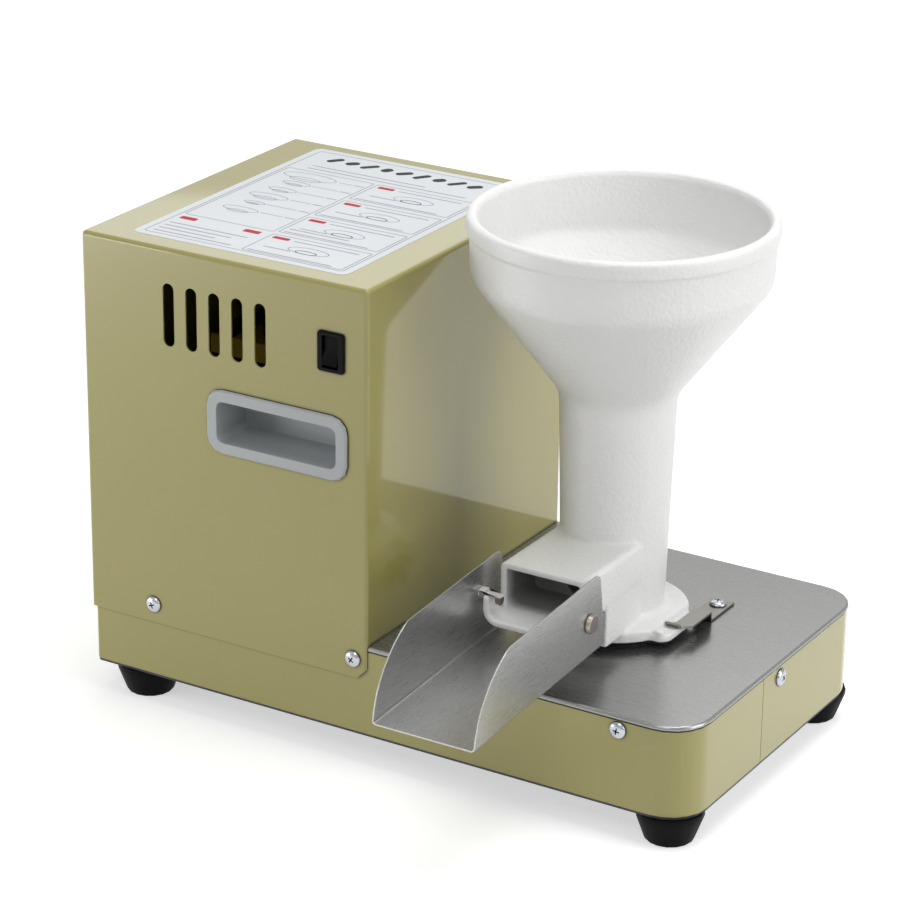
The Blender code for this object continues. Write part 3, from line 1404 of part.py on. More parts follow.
def hopper_outside():
    """The casting's outer line from its seat up over the rim's bead, ending on its axis."""
    bead_low = HOPPER_HEIGHT - BEAD_HEIGHT
    corners = (
        (0.0, 0.0, 0.0),
        (SEAT_RADIUS, 0.0, 0.0),
        (SEAT_RADIUS, SEAT_HEIGHT, 0.0),
        (FLANGE_RADIUS, SEAT_HEIGHT, FLANGE_ROUND, 1),
        (FLANGE_RADIUS, FLANGE_TOP, FLANGE_ROUND, 1),
        (NECK_FOOT_RADIUS, FLANGE_TOP, FOOT_FILLET, 2),
        (NECK_RADIUS, NECK_TAPER_HEIGHT, 0.0),
        (NECK_TOP_RADIUS, NECK_TOP_HEIGHT, NECK_ROUND),
        (SHOULDER_RADIUS, SHOULDER_HEIGHT, SHOULDER_ROUND),
        (RIM_RADIUS, bead_low, 0.0),
        (BEAD_RADIUS, bead_low, 0.0),
        (BEAD_RADIUS, HOPPER_HEIGHT, BEAD_ROUND, 2),
        (0.0, HOPPER_HEIGHT, 0.0),
    )
    return rounded(corners)


def hopper_inside():
    """The bowl, the throat and the chamber under the ledge, as one turned cut."""
    top = HOPPER_HEIGHT + OVERRUN
    wall = SHOULDER_RADIUS - HOPPER_WALL
    corners = (
        (0.0, CHAMBER_FLOOR, 0.0),
        (CHAMBER_RADIUS, CHAMBER_FLOOR, 0.0),
        (CHAMBER_RADIUS, LEDGE_HEIGHT, 0.0),
        (BORE_RADIUS, LEDGE_HEIGHT, 0.0),
        (BORE_RADIUS, NECK_TOP_HEIGHT, BORE_ROUND, 2),
        (wall, SHOULDER_HEIGHT, SHOULDER_ROUND - HOPPER_WALL, 2),
        (RIM_RADIUS - HOPPER_WALL, HOPPER_HEIGHT - BEAD_ROUND, 0.0),
        (RIM_RADIUS - HOPPER_WALL + BEAD_ROUND / 2, HOPPER_HEIGHT, 0.0),
        (RIM_RADIUS - HOPPER_WALL + BEAD_ROUND / 2, top, 0.0),
        (0.0, top, 0.0),
    )
    return rounded(corners)


def duct_section(grow, low_round, high_round):
    """The duct's outline across its flow, in x and z, grown outwards by a distance."""
    half = DUCT_WIDTH / 2 + grow
    low = DUCT_RISE - grow
    high = DUCT_TOP + grow
    corners = (
        (-half, low, low_round),
        (half, low, low_round),
        (half, high, high_round),
        (-half, high, high_round),
    )
    return rounded(corners)


def lug_outline(side):
    """The latch's lug, seen from above, on the side that the sign says."""
    corners = (
        (side * (LEDGE_IN - LUG_ROUND), -side * LUG_FRONT, 0.0),
        (side * LUG_REACH, -side * LUG_FRONT, LUG_ROUND),
        (side * LUG_REACH, side * LUG_BACK, LUG_ROUND / 2),
        (side * (LEDGE_IN - LUG_ROUND), side * LUG_BACK, 0.0),
    )
    return rounded(corners)


def make_hopper():
    """The casting: turned body, square duct with its trough, pedestal and two lugs, then its hollows."""
    place = (HOPPER_X, MIDDLE_Y, SEAT_Z)
    bm = spin(bmesh.new(), hopper_outside(), HOPPER_STEPS)
    hopper = piece("hopper", bm, "white_paint", place)
    duct = duct_section(0.0, TROUGH_ROUND, DUCT_ROUND)
    carve(hopper, prism(bmesh.new(), duct, -TROUGH_FRONT, 0.0, "xzy"), "UNION")
    half = DUCT_WIDTH / 2 - PEDESTAL_INSET
    low = (-half, -PEDESTAL_REACH, FLANGE_TOP - FLANGE_ROUND)
    high = (half, 0.0, DUCT_RISE + TROUGH_ROUND)
    carve(hopper, block(bmesh.new(), low, high), "UNION")
    for side in (1, -1):
        lug = prism(bmesh.new(), lug_outline(side), SEAT_HEIGHT, LUG_TOP)
        carve(hopper, lug, "UNION")
        edge = side * LEDGE_IN
        far = side * (LUG_REACH + OVERRUN)
        low = (min(edge, far), -FLANGE_RADIUS, LUG_TOP)
        high = (max(edge, far), FLANGE_RADIUS, FLANGE_TOP + OVERRUN)
        carve(hopper, block(bmesh.new(), low, high))
    carve(hopper, spin(bmesh.new(), hopper_inside(), HOPPER_STEPS))
    cavity = prism(bmesh.new(), circle(NOSE_RADIUS + NOSE_PLAY, INNER_STEPS), -OVERRUN, CAVITY_TOP)
    carve(hopper, cavity)
    carve(hopper, holes(SHAFT_HOLE_RADIUS, CAVITY_TOP - OVERRUN, CHAMBER_FLOOR + OVERRUN, [(0.0, 0.0)]))
    channel = duct_section(-DUCT_WALL, TROUGH_ROUND - DUCT_WALL, DUCT_WALL - DUCT_ROUND)
    carve(hopper, prism(bmesh.new(), channel, -TROUGH_FRONT - OVERRUN, -PASSAGE_BACK, "xzy"))
    passage_z = CHAMBER_FLOOR + PASSAGE_RADIUS + PASSAGE_LIFT
    chamber_front = -math.sqrt(CHAMBER_RADIUS ** 2 - (PASSAGE_SHIFT + PASSAGE_RADIUS) ** 2)
    low, high = -PASSAGE_BACK - OVERRUN, chamber_front + OVERRUN
    tool = holes(PASSAGE_RADIUS, low, high, [(PASSAGE_SHIFT, passage_z)], "xzy", INNER_STEPS)
    carve(hopper, tool)
    low = (-DUCT_WIDTH, -TROUGH_FRONT - OVERRUN, TROUGH_TOP)
    high = (DUCT_WIDTH, -DUCT_FRONT, DUCT_TOP + OVERRUN)
    carve(hopper, block(bmesh.new(), low, high))
    carve(hopper, slot_tool())
    key = prism(bmesh.new(), circle(KEY_RADIUS, HOLE_STEPS, 0.0, BORE_RADIUS), CHAMBER_FLOOR, key_top())
    carve(hopper, key, "UNION")


def slot_tool():
    """The hooked notches in the trough's walls that the chute's pins drop into."""
    radius = STUD_RADIUS + GAP
    horn = -TROUGH_FRONT + HORN_LENGTH
    top = TROUGH_TOP + OVERRUN
    outline = [(horn, top), (horn, TROUGH_TOP - HOOK_DROP)]
    outline += arc(-PIVOT_OUT, PIVOT_HEIGHT, radius, HOOK_START, 4, LARGE_ROUND_STEPS)
    outline += [(-PIVOT_OUT + radius, top)]
    return prism(bmesh.new(), outline, -DUCT_WIDTH, DUCT_WIDTH, "yzx")


# Grinding set

def key_top():
    """The top of the cast key that keeps the perforated plate from turning."""
    return LEDGE_HEIGHT + KEY_HEIGHT


def make_perforated_plate():
    """The ground steel disc with rings of holes, a bore for the shaft and a notch for the key."""
    radius = BORE_RADIUS - GAP
    place = (HOPPER_X, MIDDLE_Y, SEAT_Z + DISC_BASE)
    bm = prism(bmesh.new(), circle(radius, HOPPER_STEPS), 0.0, PLATE_THICKNESS)
    disc = piece("perforated_plate", bm, "tool_steel", place)
    low, high = -OVERRUN, PLATE_THICKNESS + OVERRUN
    for ring_radius, count in PLATE_RINGS:
        carve(disc, holes(PLATE_HOLE, low, high, circle(ring_radius, count), steps=PLATE_HOLE_STEPS))
    carve(disc, holes(PLATE_BORE, low, high, [(0.0, 0.0)], steps=SHAFT_STEPS))
    carve(disc, holes(KEY_RADIUS + GAP, low, high, [(0.0, BORE_RADIUS)]))


def make_knife():
    """The four-armed knife that wipes the plate, on the shaft's square."""
    tip = BORE_RADIUS - BLADE_PLAY
    outline = arms_outline(KNIFE_ARMS, KNIFE_HUB, tip, KNIFE_ARM_ROOT, KNIFE_ARM_TIP, KNIFE_SWEEP)
    place = (HOPPER_X, MIDDLE_Y, SEAT_Z + KNIFE_BASE)
    knife = piece("knife", prism(bmesh.new(), outline, 0.0, KNIFE_THICKNESS), "tool_steel", place)
    square = square_ring(DRIVE_SQUARE + SQUARE_PLAY, HOLE_STEPS)
    carve(knife, prism(bmesh.new(), square, -OVERRUN, KNIFE_THICKNESS + OVERRUN))


def auger_core():
    """The auger's core: a tapered bar with a rounded nose."""
    shoulder = AUGER_HEIGHT - AUGER_NOSE
    return (
        (0.0, 0.0),
        (AUGER_CORE, 0.0),
        (AUGER_NECK, shoulder),
        (AUGER_NECK * math.sqrt(0.75), shoulder + AUGER_NOSE / 2),
        (AUGER_NECK / 2, AUGER_HEIGHT),
        (0.0, AUGER_HEIGHT),
    )


def auger_flight():
    """The helical flight: a tapered section carried up and round the core."""
    outer = BORE_RADIUS - AUGER_PLAY
    root = AUGER_NECK - AUGER_ROOT_IN
    low = AUGER_ROOT_HALF
    high = AUGER_HEIGHT - AUGER_NOSE - AUGER_ROOT_HALF
    turns = (high - low) / AUGER_PITCH
    count = math.ceil(turns * AUGER_STEPS)
    section = (
        (root, -AUGER_ROOT_HALF),
        (outer, -AUGER_EDGE_HALF),
        (outer, AUGER_EDGE_HALF),
        (root, AUGER_ROOT_HALF),
    )
    rings = []
    for i in range(count + 1):
        angle = 2 * math.pi * turns * i / count
        level = low + (high - low) * i / count
        rings.append([(r * math.cos(angle), r * math.sin(angle), level + z) for r, z in section])
    return loft(bmesh.new(), rings)


def make_auger():
    """The screw that feeds the beans down to the knife and the plate."""
    place = (HOPPER_X, MIDDLE_Y, SEAT_Z + AUGER_BASE)
    auger = piece("auger", spin(bmesh.new(), auger_core(), AUGER_STEPS), "stainless", place)
    carve(auger, auger_flight(), "UNION")
    square = square_ring(DRIVE_SQUARE + SQUARE_PLAY, HOLE_STEPS)
    carve(auger, prism(bmesh.new(), square, -OVERRUN, AUGER_SOCKET))


def make_paddle():
    """The paddle under the plate that sweeps the paste out through the passage."""
    tip = CHAMBER_RADIUS - BLADE_PLAY
    outline = arms_outline(PADDLE_ARMS, PADDLE_HUB, tip, PADDLE_ARM_ROOT, PADDLE_ARM_TIP, PADDLE_SWEEP)
    place = (HOPPER_X, MIDDLE_Y, SEAT_Z + CHAMBER_FLOOR + GAP)
    paddle = piece("discharge_paddle", prism(bmesh.new(), outline, 0.0, PADDLE_HEIGHT), "stainless", place)
    bore = holes(DRIVE_RADIUS + GAP, -OVERRUN, PADDLE_HEIGHT + OVERRUN, [(0.0, 0.0)], steps=SHAFT_STEPS)
    carve(paddle, bore)


# Chute

def pivot_place():
    """The middle of the pins that the chute hangs on."""
    return (HOPPER_X, MIDDLE_Y - PIVOT_OUT, SEAT_Z + PIVOT_HEIGHT)


def chute_nose():
    """The bulged front edge of a side wall, from its shoulder down to the lip."""
    start = Vector((-SHOULDER_REACH, SHOULDER_TOP))
    end = Vector((-CHUTE_REACH, -CHUTE_LIP_DROP))
    out = (end - start).orthogonal().normalized()
    if out.x > 0:
        out = -out
    points = []
    for i in range(NOSE_STEPS + 1):
        share = i / NOSE_STEPS
        points.append(tuple(start.lerp(end, share) + out * (NOSE_BULGE * 4 * share * (1 - share))))
    return points


def chute_side():
    """A side wall's outline in y and z about the pins, from the lip back along the floor and over."""
    floor_back = (CHUTE_TAIL, -CHUTE_DROP)
    top_back = rounded(
        (
            (CHUTE_TAIL, -CHUTE_DROP, 0.0),
            (CHUTE_BACK_LEAN, CHUTE_BACK_TOP, CHUTE_BACK_ROUND),
            (-SHOULDER_REACH, SHOULDER_TOP, 0.0),
        )
    )[1:-1]
    return [floor_back] + top_back + chute_nose()


def make_chute():
    """The folded chute: a solid of the walls' outline, hollowed from above, and open at both ends."""
    half = CHUTE_WIDTH / 2
    bm = prism(bmesh.new(), chute_side(), -half, half, "yzx")
    floor_y = (-CHUTE_REACH, CHUTE_TAIL)
    folds = []
    for edge in bm.edges:
        ends = sorted(v.co.y for v in edge.verts)
        level = abs(edge.verts[0].co.x - edge.verts[1].co.x) < WELD
        if level and abs(ends[0] - floor_y[0]) < WELD and abs(ends[1] - floor_y[1]) < WELD:
            folds.append(edge)
    round_edges(bm, folds, CHUTE_BEND, ROUND_STEPS)
    chute = piece("chute", bm, "stainless", pivot_place())
    slope = (CHUTE_LIP_DROP - CHUTE_DROP) / (CHUTE_REACH + CHUTE_TAIL)
    front = (-CHUTE_REACH - OVERRUN, -CHUTE_LIP_DROP - slope * OVERRUN + CHUTE_SHEET)
    back = (CHUTE_TAIL + OVERRUN, -CHUTE_DROP + slope * OVERRUN + CHUTE_SHEET)
    inner = CHUTE_INSIDE / 2
    bend = CHUTE_BEND - CHUTE_SHEET
    high = CHUTE_BACK_TOP + OVERRUN
    rings = []
    for y, floor in (front, back):
        corners = ((-inner, floor, bend), (inner, floor, bend), (inner, high, 0.0), (-inner, high, 0.0))
        rings.append([(x, y, z) for x, z in rounded(corners)])
    carve(chute, loft(bmesh.new(), rings))
    carve(chute, holes(STUD_RADIUS + GAP, -half - OVERRUN, half + OVERRUN, [(0.0, 0.0)], "yzx"))


def make_chute_studs():
    """Two domed studs through the side walls, with pins that hook into the trough's slots."""
    seat = CHUTE_WIDTH / 2 + GAP
    tip = DUCT_WIDTH / 2 - DUCT_WALL + STUD_SHORT
    shoulder = STUD_HEAD_RADIUS * math.sqrt(0.75)
    profile = (
        (0.0, tip),
        (STUD_RADIUS, tip),
        (STUD_RADIUS, seat),
        (STUD_HEAD_RADIUS, seat),
        (STUD_HEAD_RADIUS, seat + STUD_HEAD_HEIGHT / 2),
        (shoulder, seat + STUD_HEAD_HEIGHT),
        (0.0, seat + STUD_HEAD_HEIGHT),
    )
    for name, side in (("chute_stud_right", 1), ("chute_stud_left", -1)):
        line = [(r, side * x) for r, x in profile]
        piece(name, spin(bmesh.new(), line, INNER_STEPS, "yzx"), "stainless", pivot_place())


def make_chute_clip():
    """A stepped tongue on the chute's left wall that lies over the trough's horn."""
    wall = CHUTE_INSIDE / 2 - GAP
    over = TROUGH_TOP - PIVOT_HEIGHT + GAP
    middle = -PIVOT_OUT + TROUGH_FRONT - HORN_LENGTH / 2
    front = -middle - CLIP_WIDTH / 2
    back = -middle + CLIP_WIDTH / 2
    step = DUCT_WIDTH / 2
    tip = DUCT_WIDTH / 2 - DUCT_WALL - CLIP_REACH
    outline = (
        (-wall, over + CLIP_STEP - CLIP_TAB),
        (-wall + CLIP_SHEET, over + CLIP_STEP - CLIP_TAB),
        (-wall + CLIP_SHEET, over + CLIP_STEP),
        (-step, over + CLIP_STEP),
        (-step + CLIP_SHEET, over),
        (-tip, over),
        (-tip, over + CLIP_SHEET),
        (-step + CLIP_SHEET, over + CLIP_SHEET),
        (-step, over + CLIP_STEP + CLIP_SHEET),
        (-wall, over + CLIP_STEP + CLIP_SHEET),
    )
    bm = prism(bmesh.new(), outline, front, back, "xzy")
    piece("chute_clip", bm, "stainless", pivot_place())


# Latches

def make_latches():
    """Stamped leaves that swivel on their screws and bear down on the casting's lugs.

    Each narrows towards its end, which turns up as a grip for a finger.
    """
    rest = SEAT_Z + LUG_TOP + GAP
    rise = rest - PLATE_TOP - GAP
    step_end = LATCH_STEP_START + LATCH_STEP_RUN
    wide = (-LATCH_HALF, LATCH_HALF)
    slim = (LATCH_SLIM_INSIDE, LATCH_SLIM_OUTSIDE)
    tip = (LATCH_TIP_INSIDE, LATCH_TIP_OUTSIDE)
    stations = (
        (LATCH_HEEL, 0.0, *wide),
        (-LATCH_STEP_START, 0.0, *wide),
        (-step_end, rise, *slim),
        (-LATCH_TAPER_START, rise, *slim),
        (-LATCH_TIP_START, rise, *tip),
        (-LATCH_LENGTH, rise + LATCH_TAB, *tip),
    )
    for name, ((x, y), turn) in latch_places().items():
        bm = strip(bmesh.new(), stations, LATCH_SHEET)
        bmesh.ops.rotate(bm, verts=bm.verts, matrix=Matrix.Rotation(turn, 3, "Z"))
        latch = piece(name, bm, "stainless", (x, y, PLATE_TOP + GAP))
        carve(latch, holes(SCREW_SHANK_RADIUS + GAP, -OVERRUN, LATCH_SHEET + OVERRUN, [(0.0, 0.0)]))


# Assembly

def part_centre():
    """The middle of the part's bounding box in x and y, and how far its feet reach down."""
    left = -COVER_LAP
    right = BASE_LENGTH + GAP + SCREW_HEAD_HEIGHT
    front = MIDDLE_Y - PIVOT_OUT - CHUTE_REACH
    back = BASE_DEPTH + COVER_LAP + GLAND_PROUD
    return ((left + right) / 2, (front + back) / 2, -FOOT_HEIGHT)


def clear_scene():
    for thing in list(bpy.data.objects):
        bpy.data.objects.remove(thing, do_unlink=True)


def build():
    global machine
    clear_scene()
    machine = bpy.data.objects.new("machine", None)
    machine.location = -Vector(part_centre())
    bpy.context.collection.objects.link(machine)
    make_bottom_plate()
    make_skirts()
    make_deck()
    make_top_plate()
    make_feet()
    make_motor_cover()
    make_handle_cup("front_handle_cup", -COVER_LAP, -1)
    make_handle_cup("rear_handle_cup", BASE_DEPTH + COVER_LAP, 1)
    make_switch()
    make_rocker()
    make_cord_gland()
    make_wiring_parts()
    make_motor()
    make_rotor()
    make_motor_strap()
    make_fan()
    make_motor_pulley()
    make_drive_pulley()
    make_belt()
    make_bearing_housing()
    make_drive_shaft()
    make_hopper()
    make_perforated_plate()
    make_knife()
    make_auger()
    make_paddle()
    make_chute()
    make_chute_studs()
    make_chute_clip()
    make_latches()
    make_screws()


build()
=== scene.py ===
"""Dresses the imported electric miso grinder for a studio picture.

Every CAD node keeps its place and gets a detailed material. The hopper is made again as a casting, the
sheet and moulded pieces as copies with softened edges, and the screws that show with a cross recess. The
sheet on the cover is made here alone. Metres, +Z up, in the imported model's frame.
"""
import json
import math

import bmesh
import bpy
from mathutils import Matrix, Vector


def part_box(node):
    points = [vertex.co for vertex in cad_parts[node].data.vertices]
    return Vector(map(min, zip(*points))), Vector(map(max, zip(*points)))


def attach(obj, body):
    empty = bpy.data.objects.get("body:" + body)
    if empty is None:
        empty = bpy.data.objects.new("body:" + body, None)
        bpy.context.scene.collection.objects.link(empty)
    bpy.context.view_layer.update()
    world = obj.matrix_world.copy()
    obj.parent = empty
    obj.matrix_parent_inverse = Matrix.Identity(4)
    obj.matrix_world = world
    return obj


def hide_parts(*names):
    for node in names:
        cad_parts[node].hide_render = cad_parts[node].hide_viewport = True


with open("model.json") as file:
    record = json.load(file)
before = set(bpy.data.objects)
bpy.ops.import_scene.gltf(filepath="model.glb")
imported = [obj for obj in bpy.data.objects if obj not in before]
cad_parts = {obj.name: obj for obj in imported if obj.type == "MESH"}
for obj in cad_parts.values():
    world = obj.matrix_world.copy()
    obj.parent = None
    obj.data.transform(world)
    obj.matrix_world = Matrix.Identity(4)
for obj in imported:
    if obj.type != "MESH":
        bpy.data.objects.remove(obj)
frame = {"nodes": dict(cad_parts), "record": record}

# Camera, found by fitting the box's edges in the photograph
CAMERA_PLACE = Vector((1.08017, -1.78401, 1.03982))
CAMERA_AZIMUTH = math.radians(31.005)
CAMERA_ELEVATION = math.radians(21.844)
CAMERA_ROLL = math.radians(0.681)
SENSOR = 36.0
LENS = 136.24

# Hopper casting, measured up from its seat and out from its axis
SEAT_RADIUS = 0.0405
SEAT_HEIGHT = 0.0038
FLANGE_RADIUS = 0.0515
FLANGE_TOP = 0.0128
FLANGE_ROUND = 0.0020
FOOT_FILLET = 0.0050
NECK_FOOT_RADIUS = 0.0350
NECK_RADIUS = 0.0366
NECK_TAPER_HEIGHT = 0.0840
NECK_TOP_RADIUS = 0.0389
NECK_TOP_HEIGHT = 0.1643
NECK_ROUND = 0.0260
SHOULDER_RADIUS = 0.0982
SHOULDER_HEIGHT = 0.2428
SHOULDER_ROUND = 0.0170
RIM_RADIUS = 0.0990
BEAD_RADIUS = 0.1010
BEAD_HEIGHT = 0.0118
BEAD_ROUND = 0.0036
HOPPER_HEIGHT = 0.2839
HOPPER_WALL = 0.0055
BORE_RADIUS = 0.0315
BORE_ROUND = 0.0160
CHAMBER_RADIUS = 0.0280
CHAMBER_FLOOR = 0.0377
LEDGE_HEIGHT = 0.0717
NOSE_HOLE_RADIUS = 0.0268
NOSE_HOLE_TOP = 0.0317
SHAFT_HOLE_RADIUS = 0.0090
TURNED_STEPS = 128

# Outlet duct, trough and lugs of the casting
DUCT_WIDTH = 0.0625
DUCT_RISE = 0.0335
DUCT_TOP = 0.0690
DUCT_WALL = 0.0042
DUCT_ROUND = 0.0034
DUCT_FRONT = 0.0955
TROUGH_FRONT = 0.1176
TROUGH_TOP = 0.0530
TROUGH_ROUND = 0.0100
PASSAGE_BACK = 0.0575
PASSAGE_RADIUS = 0.0125
PASSAGE_SHIFT = 0.0080
PASSAGE_HEIGHT = 0.0512
PEDESTAL_FRONT = 0.0640
PEDESTAL_HALF = 0.0308
HORN_LENGTH = 0.0096
HOOK_DROP = 0.0072
HOOK_START = 2.7
PIN_OUT = 0.0990
PIN_HEIGHT = 0.0436
PIN_HOLE_RADIUS = 0.0036
LUG_REACH = 0.0552
LUG_FRONT = 0.0272
LUG_BACK = 0.0198
LUG_TOP = 0.0091
LUG_ROUND = 0.0080
LEDGE_IN = 0.0455
STOP_RADIUS = 0.0034
STOP_TOP = 0.0126
CUT_SPARE = 0.0060
CAST_VOXEL = 0.0010
CAST_SMOOTHING = 4
CAST_EASE = 0.5
CAST_KEPT = 0.35
FINE_STEPS = 8

# Painted shade: the duct's inside fades to dark grey away from its mouth, and the seat and what is below it
# to black
DUCT_SHADE_GREY = (0.28, 0.28, 0.27)
SEAT_SHADE_BLACK = (0.012, 0.012, 0.012)
SEAT_FADE = 0.0006
SEAT_SHADE_TOP = 0.0056
DUCT_SHADE_START = 0.0010
DUCT_SHADE_END = 0.0120

# Vents through the cover's front and back walls
VENTS = 5
VENT_START = 0.0702
VENT_PITCH = 0.0181
VENT_WIDTH = 0.0089
VENT_LENGTH = 0.0438
VENT_DROP = 0.0461
VENT_STEPS = 24

# Screws
HEAD_RADIUS = 0.0059
HEAD_HEIGHT = 0.0028
DOME_POWER = 0.8
SHANK_RADIUS = 0.0022
SHANK_LENGTH = 0.0085
RECESS_REACH = 0.0031
RECESS_HALF = 0.0006
RECESS_DEPTH = 0.0018
RECESS_TAPER = 0.55
SCREW_STEPS = 32

# The screws that show: the side that each one faces and the turn of its recess in degrees
SCREWS = {
    "cover_screw_front_left": ("front", 20),
    "cover_screw_front_right": ("front", 55),
    "cover_screw_back_left": ("back", 10),
    "cover_screw_back_right": ("back", 70),
    "skirt_screw_front": ("front", 80),
    "skirt_screw_back": ("back", 35),
    "skirt_screw_side": ("right", 40),
    "latch_right_screw": ("up", 15),
    "latch_left_screw": ("up", 50),
}
FACINGS = {
    "front": Matrix.Rotation(math.pi / 2, 4, "X"),
    "back": Matrix.Rotation(-math.pi / 2, 4, "X"),
    "right": Matrix.Rotation(math.pi / 2, 4, "Y"),
    "up": Matrix.Identity(4),
}

# The sheet stuck on the cover, from the cover's front left corner
SHEET_LEFT = 0.0290
SHEET_FRONT = 0.0170
SHEET_LENGTH = 0.1680
SHEET_DEPTH = 0.2250
SHEET_ROUND = 0.0060
SHEET_THICKNESS = 0.00012
INK_THICKNESS = 0.00003
INK_LEVELS = SHEET_THICKNESS, SHEET_THICKNESS + INK_THICKNESS

# What all its print shares
PRINT_MARGIN = 0.0055
PRINT_GUTTER = 0.0024
PRINT_LINE = 0.0008
PRINT_ROUND = 0.0030
PRINT_SPLIT = 0.0820
BOX_ROUND = 0.0020
RING_STEPS = 32
DASH_STEP = 0.0062
DASH_WIDTH = 0.0012
DASH_SHORTER = 0.14
TAG_LENGTH = 0.0130
TAG_WIDTH = 0.0055
TAG_ROUND = 0.0012

# Its heading: separate slanted strokes, each a share of its place's width and a turn in degrees
HEADING_DEPTH = 0.0420
HEADING_ROWS = 2
STROKES_LEVEL = 0.02856
STROKE_WIDTH = 0.0105
STROKE_ROUND = 0.45
STROKES = ((0.46, 52), (0.36, 38), (0.50, 47), (0.32, 60), (0.44, 41), (0.48, 55), (0.34, 45),
           (0.50, 50), (0.40, 40))

# Its left column: oval figures, each a share of the column's width, over two tags and rows of dashes
FIGURES = (0.30, 0.16, 0.16, 0.22, 0.12, 0.20)
FIGURES_FOOT = 0.24
FIGURES_ACROSS = 0.36
FIGURES_DROP = 0.0144
FIGURE_STEP = 0.13
FIGURE_RINGS = ((1.0, 0.34, 0.0), (0.6, 0.20, 0.3))
LEADER_START = 1.1
LEADER_END = 0.0120
POINT_START = 0.01056
NOTES_END = 0.0072
NOTES_ROWS = 4
NOTES_TAG_GAP = 0.0022
NOTES_TAG_INSET = 0.0052

# Its right column: boxes, each with a tag, a figure and its rows of dashes
CELL_ROWS = (1, 2, 1, 1)
CELL_MARGIN = 0.0036
CELL_TAG_WIDTH = 0.0044
CELL_LINE_START = 0.0169
CELL_LINE_END = 0.0096
CELL_RING = (0.01575, 0.0063)
CELL_INNER_RING = (0.0084, 0.00315)
CELL_POINTER_START = 0.0315
CELL_POINTER_END = 0.0105
CELL_DASHES_END = 0.0120

# Made again from the nodes: how far each one's edges are softened
SOFTENED = {
    "motor_cover": 0.0004,
    "front_skirt": 0.0003,
    "rear_skirt": 0.0003,
    "bottom_plate": 0.0,
    "top_plate": 0.0,
    "chute": 0.0002,
    "chute_clip": 0.0003,
    "chute_stud_right": 0.0004,
    "chute_stud_left": 0.0004,
    "latch_right": 0.0002,
    "latch_left": 0.0002,
    "front_handle_cup": 0.0007,
    "rear_handle_cup": 0.0007,
    "switch_housing": 0.0004,
    "switch_rocker": 0.0005,
    "foot_front_left": 0.0006,
    "foot_front_right": 0.0006,
    "foot_back_left": 0.0006,
    "foot_back_right": 0.0006,
    "cord_gland": 0.0004,
    "motor_strap": 0.0,
    "auger": 0.0,
}
WELD = 0.000002
# The share of the skirts' height that is kept, which opens the dark line under the top plate
SKIRT_KEPT = 0.982
FLAT = math.radians(0.2)
CREASE = math.radians(35.0)
EDGE_STEPS = 2

# Nodes whose finish isn't that of their slot
OWN_FINISH = {
    "chute_stud_right": "stud_steel",
    "chute_stud_left": "stud_steel",
    "chute_clip": "clip_steel",
    "bottom_plate": "motor_iron",
}

# Every finish: its slow drift of colour, its grain, and the painted shade in its seams, which fades out
# from a shut corner to an open one
DRIFT_SCALE = 18.0
DRIFT_DETAIL = 4.0
GRAIN_DETAIL = 3.0
GRAIN_ROUGHNESS = 0.55
GLOSS_DRIFT = 0.12
SEAM_REACH = 0.0030
SEAM_SHUT = 0.45
SEAM_OPEN = 0.95

# Studio: the floor's glow grows with the distance from the object, and its shadow stays
FLOOR_REACH = 6.0
FLOOR_THICKNESS = 0.02
FLOOR_WHITE = (0.80, 0.80, 0.80)
FLOOR_ROUGHNESS = 0.9
GLOW_NEAR = 0.54
GLOW_FAR = 0.90
GLOW_START = 0.55
GLOW_END = 2.50
WORLD_AMBIENT = 0.22
WORLD_MIRRORED = 0.68

# Lamps: place, aim, size and power
LAMPS = {
    "overhead": ((0.2, 0.2, 1.7), (0.0, 0.0, 0.2), (1.4, 1.0), 14.5),
    "front": ((0.3, -1.5, 1.7), (0.0, 0.0, 0.15), (1.0, 0.8), 6.0),
    "right": ((1.7, 0.2, 0.8), (0.0, 0.0, 0.15), (1.2, 1.2), 13.0),
    "left": ((-1.0, -0.8, 0.20), (-0.2, 0.0, 0.10), (0.6, 0.4), 4.5),
    "back": ((-0.55, 0.85, 0.87), (-0.1, 0.05, 0.33), (1.4, 0.5), 1.8),
}
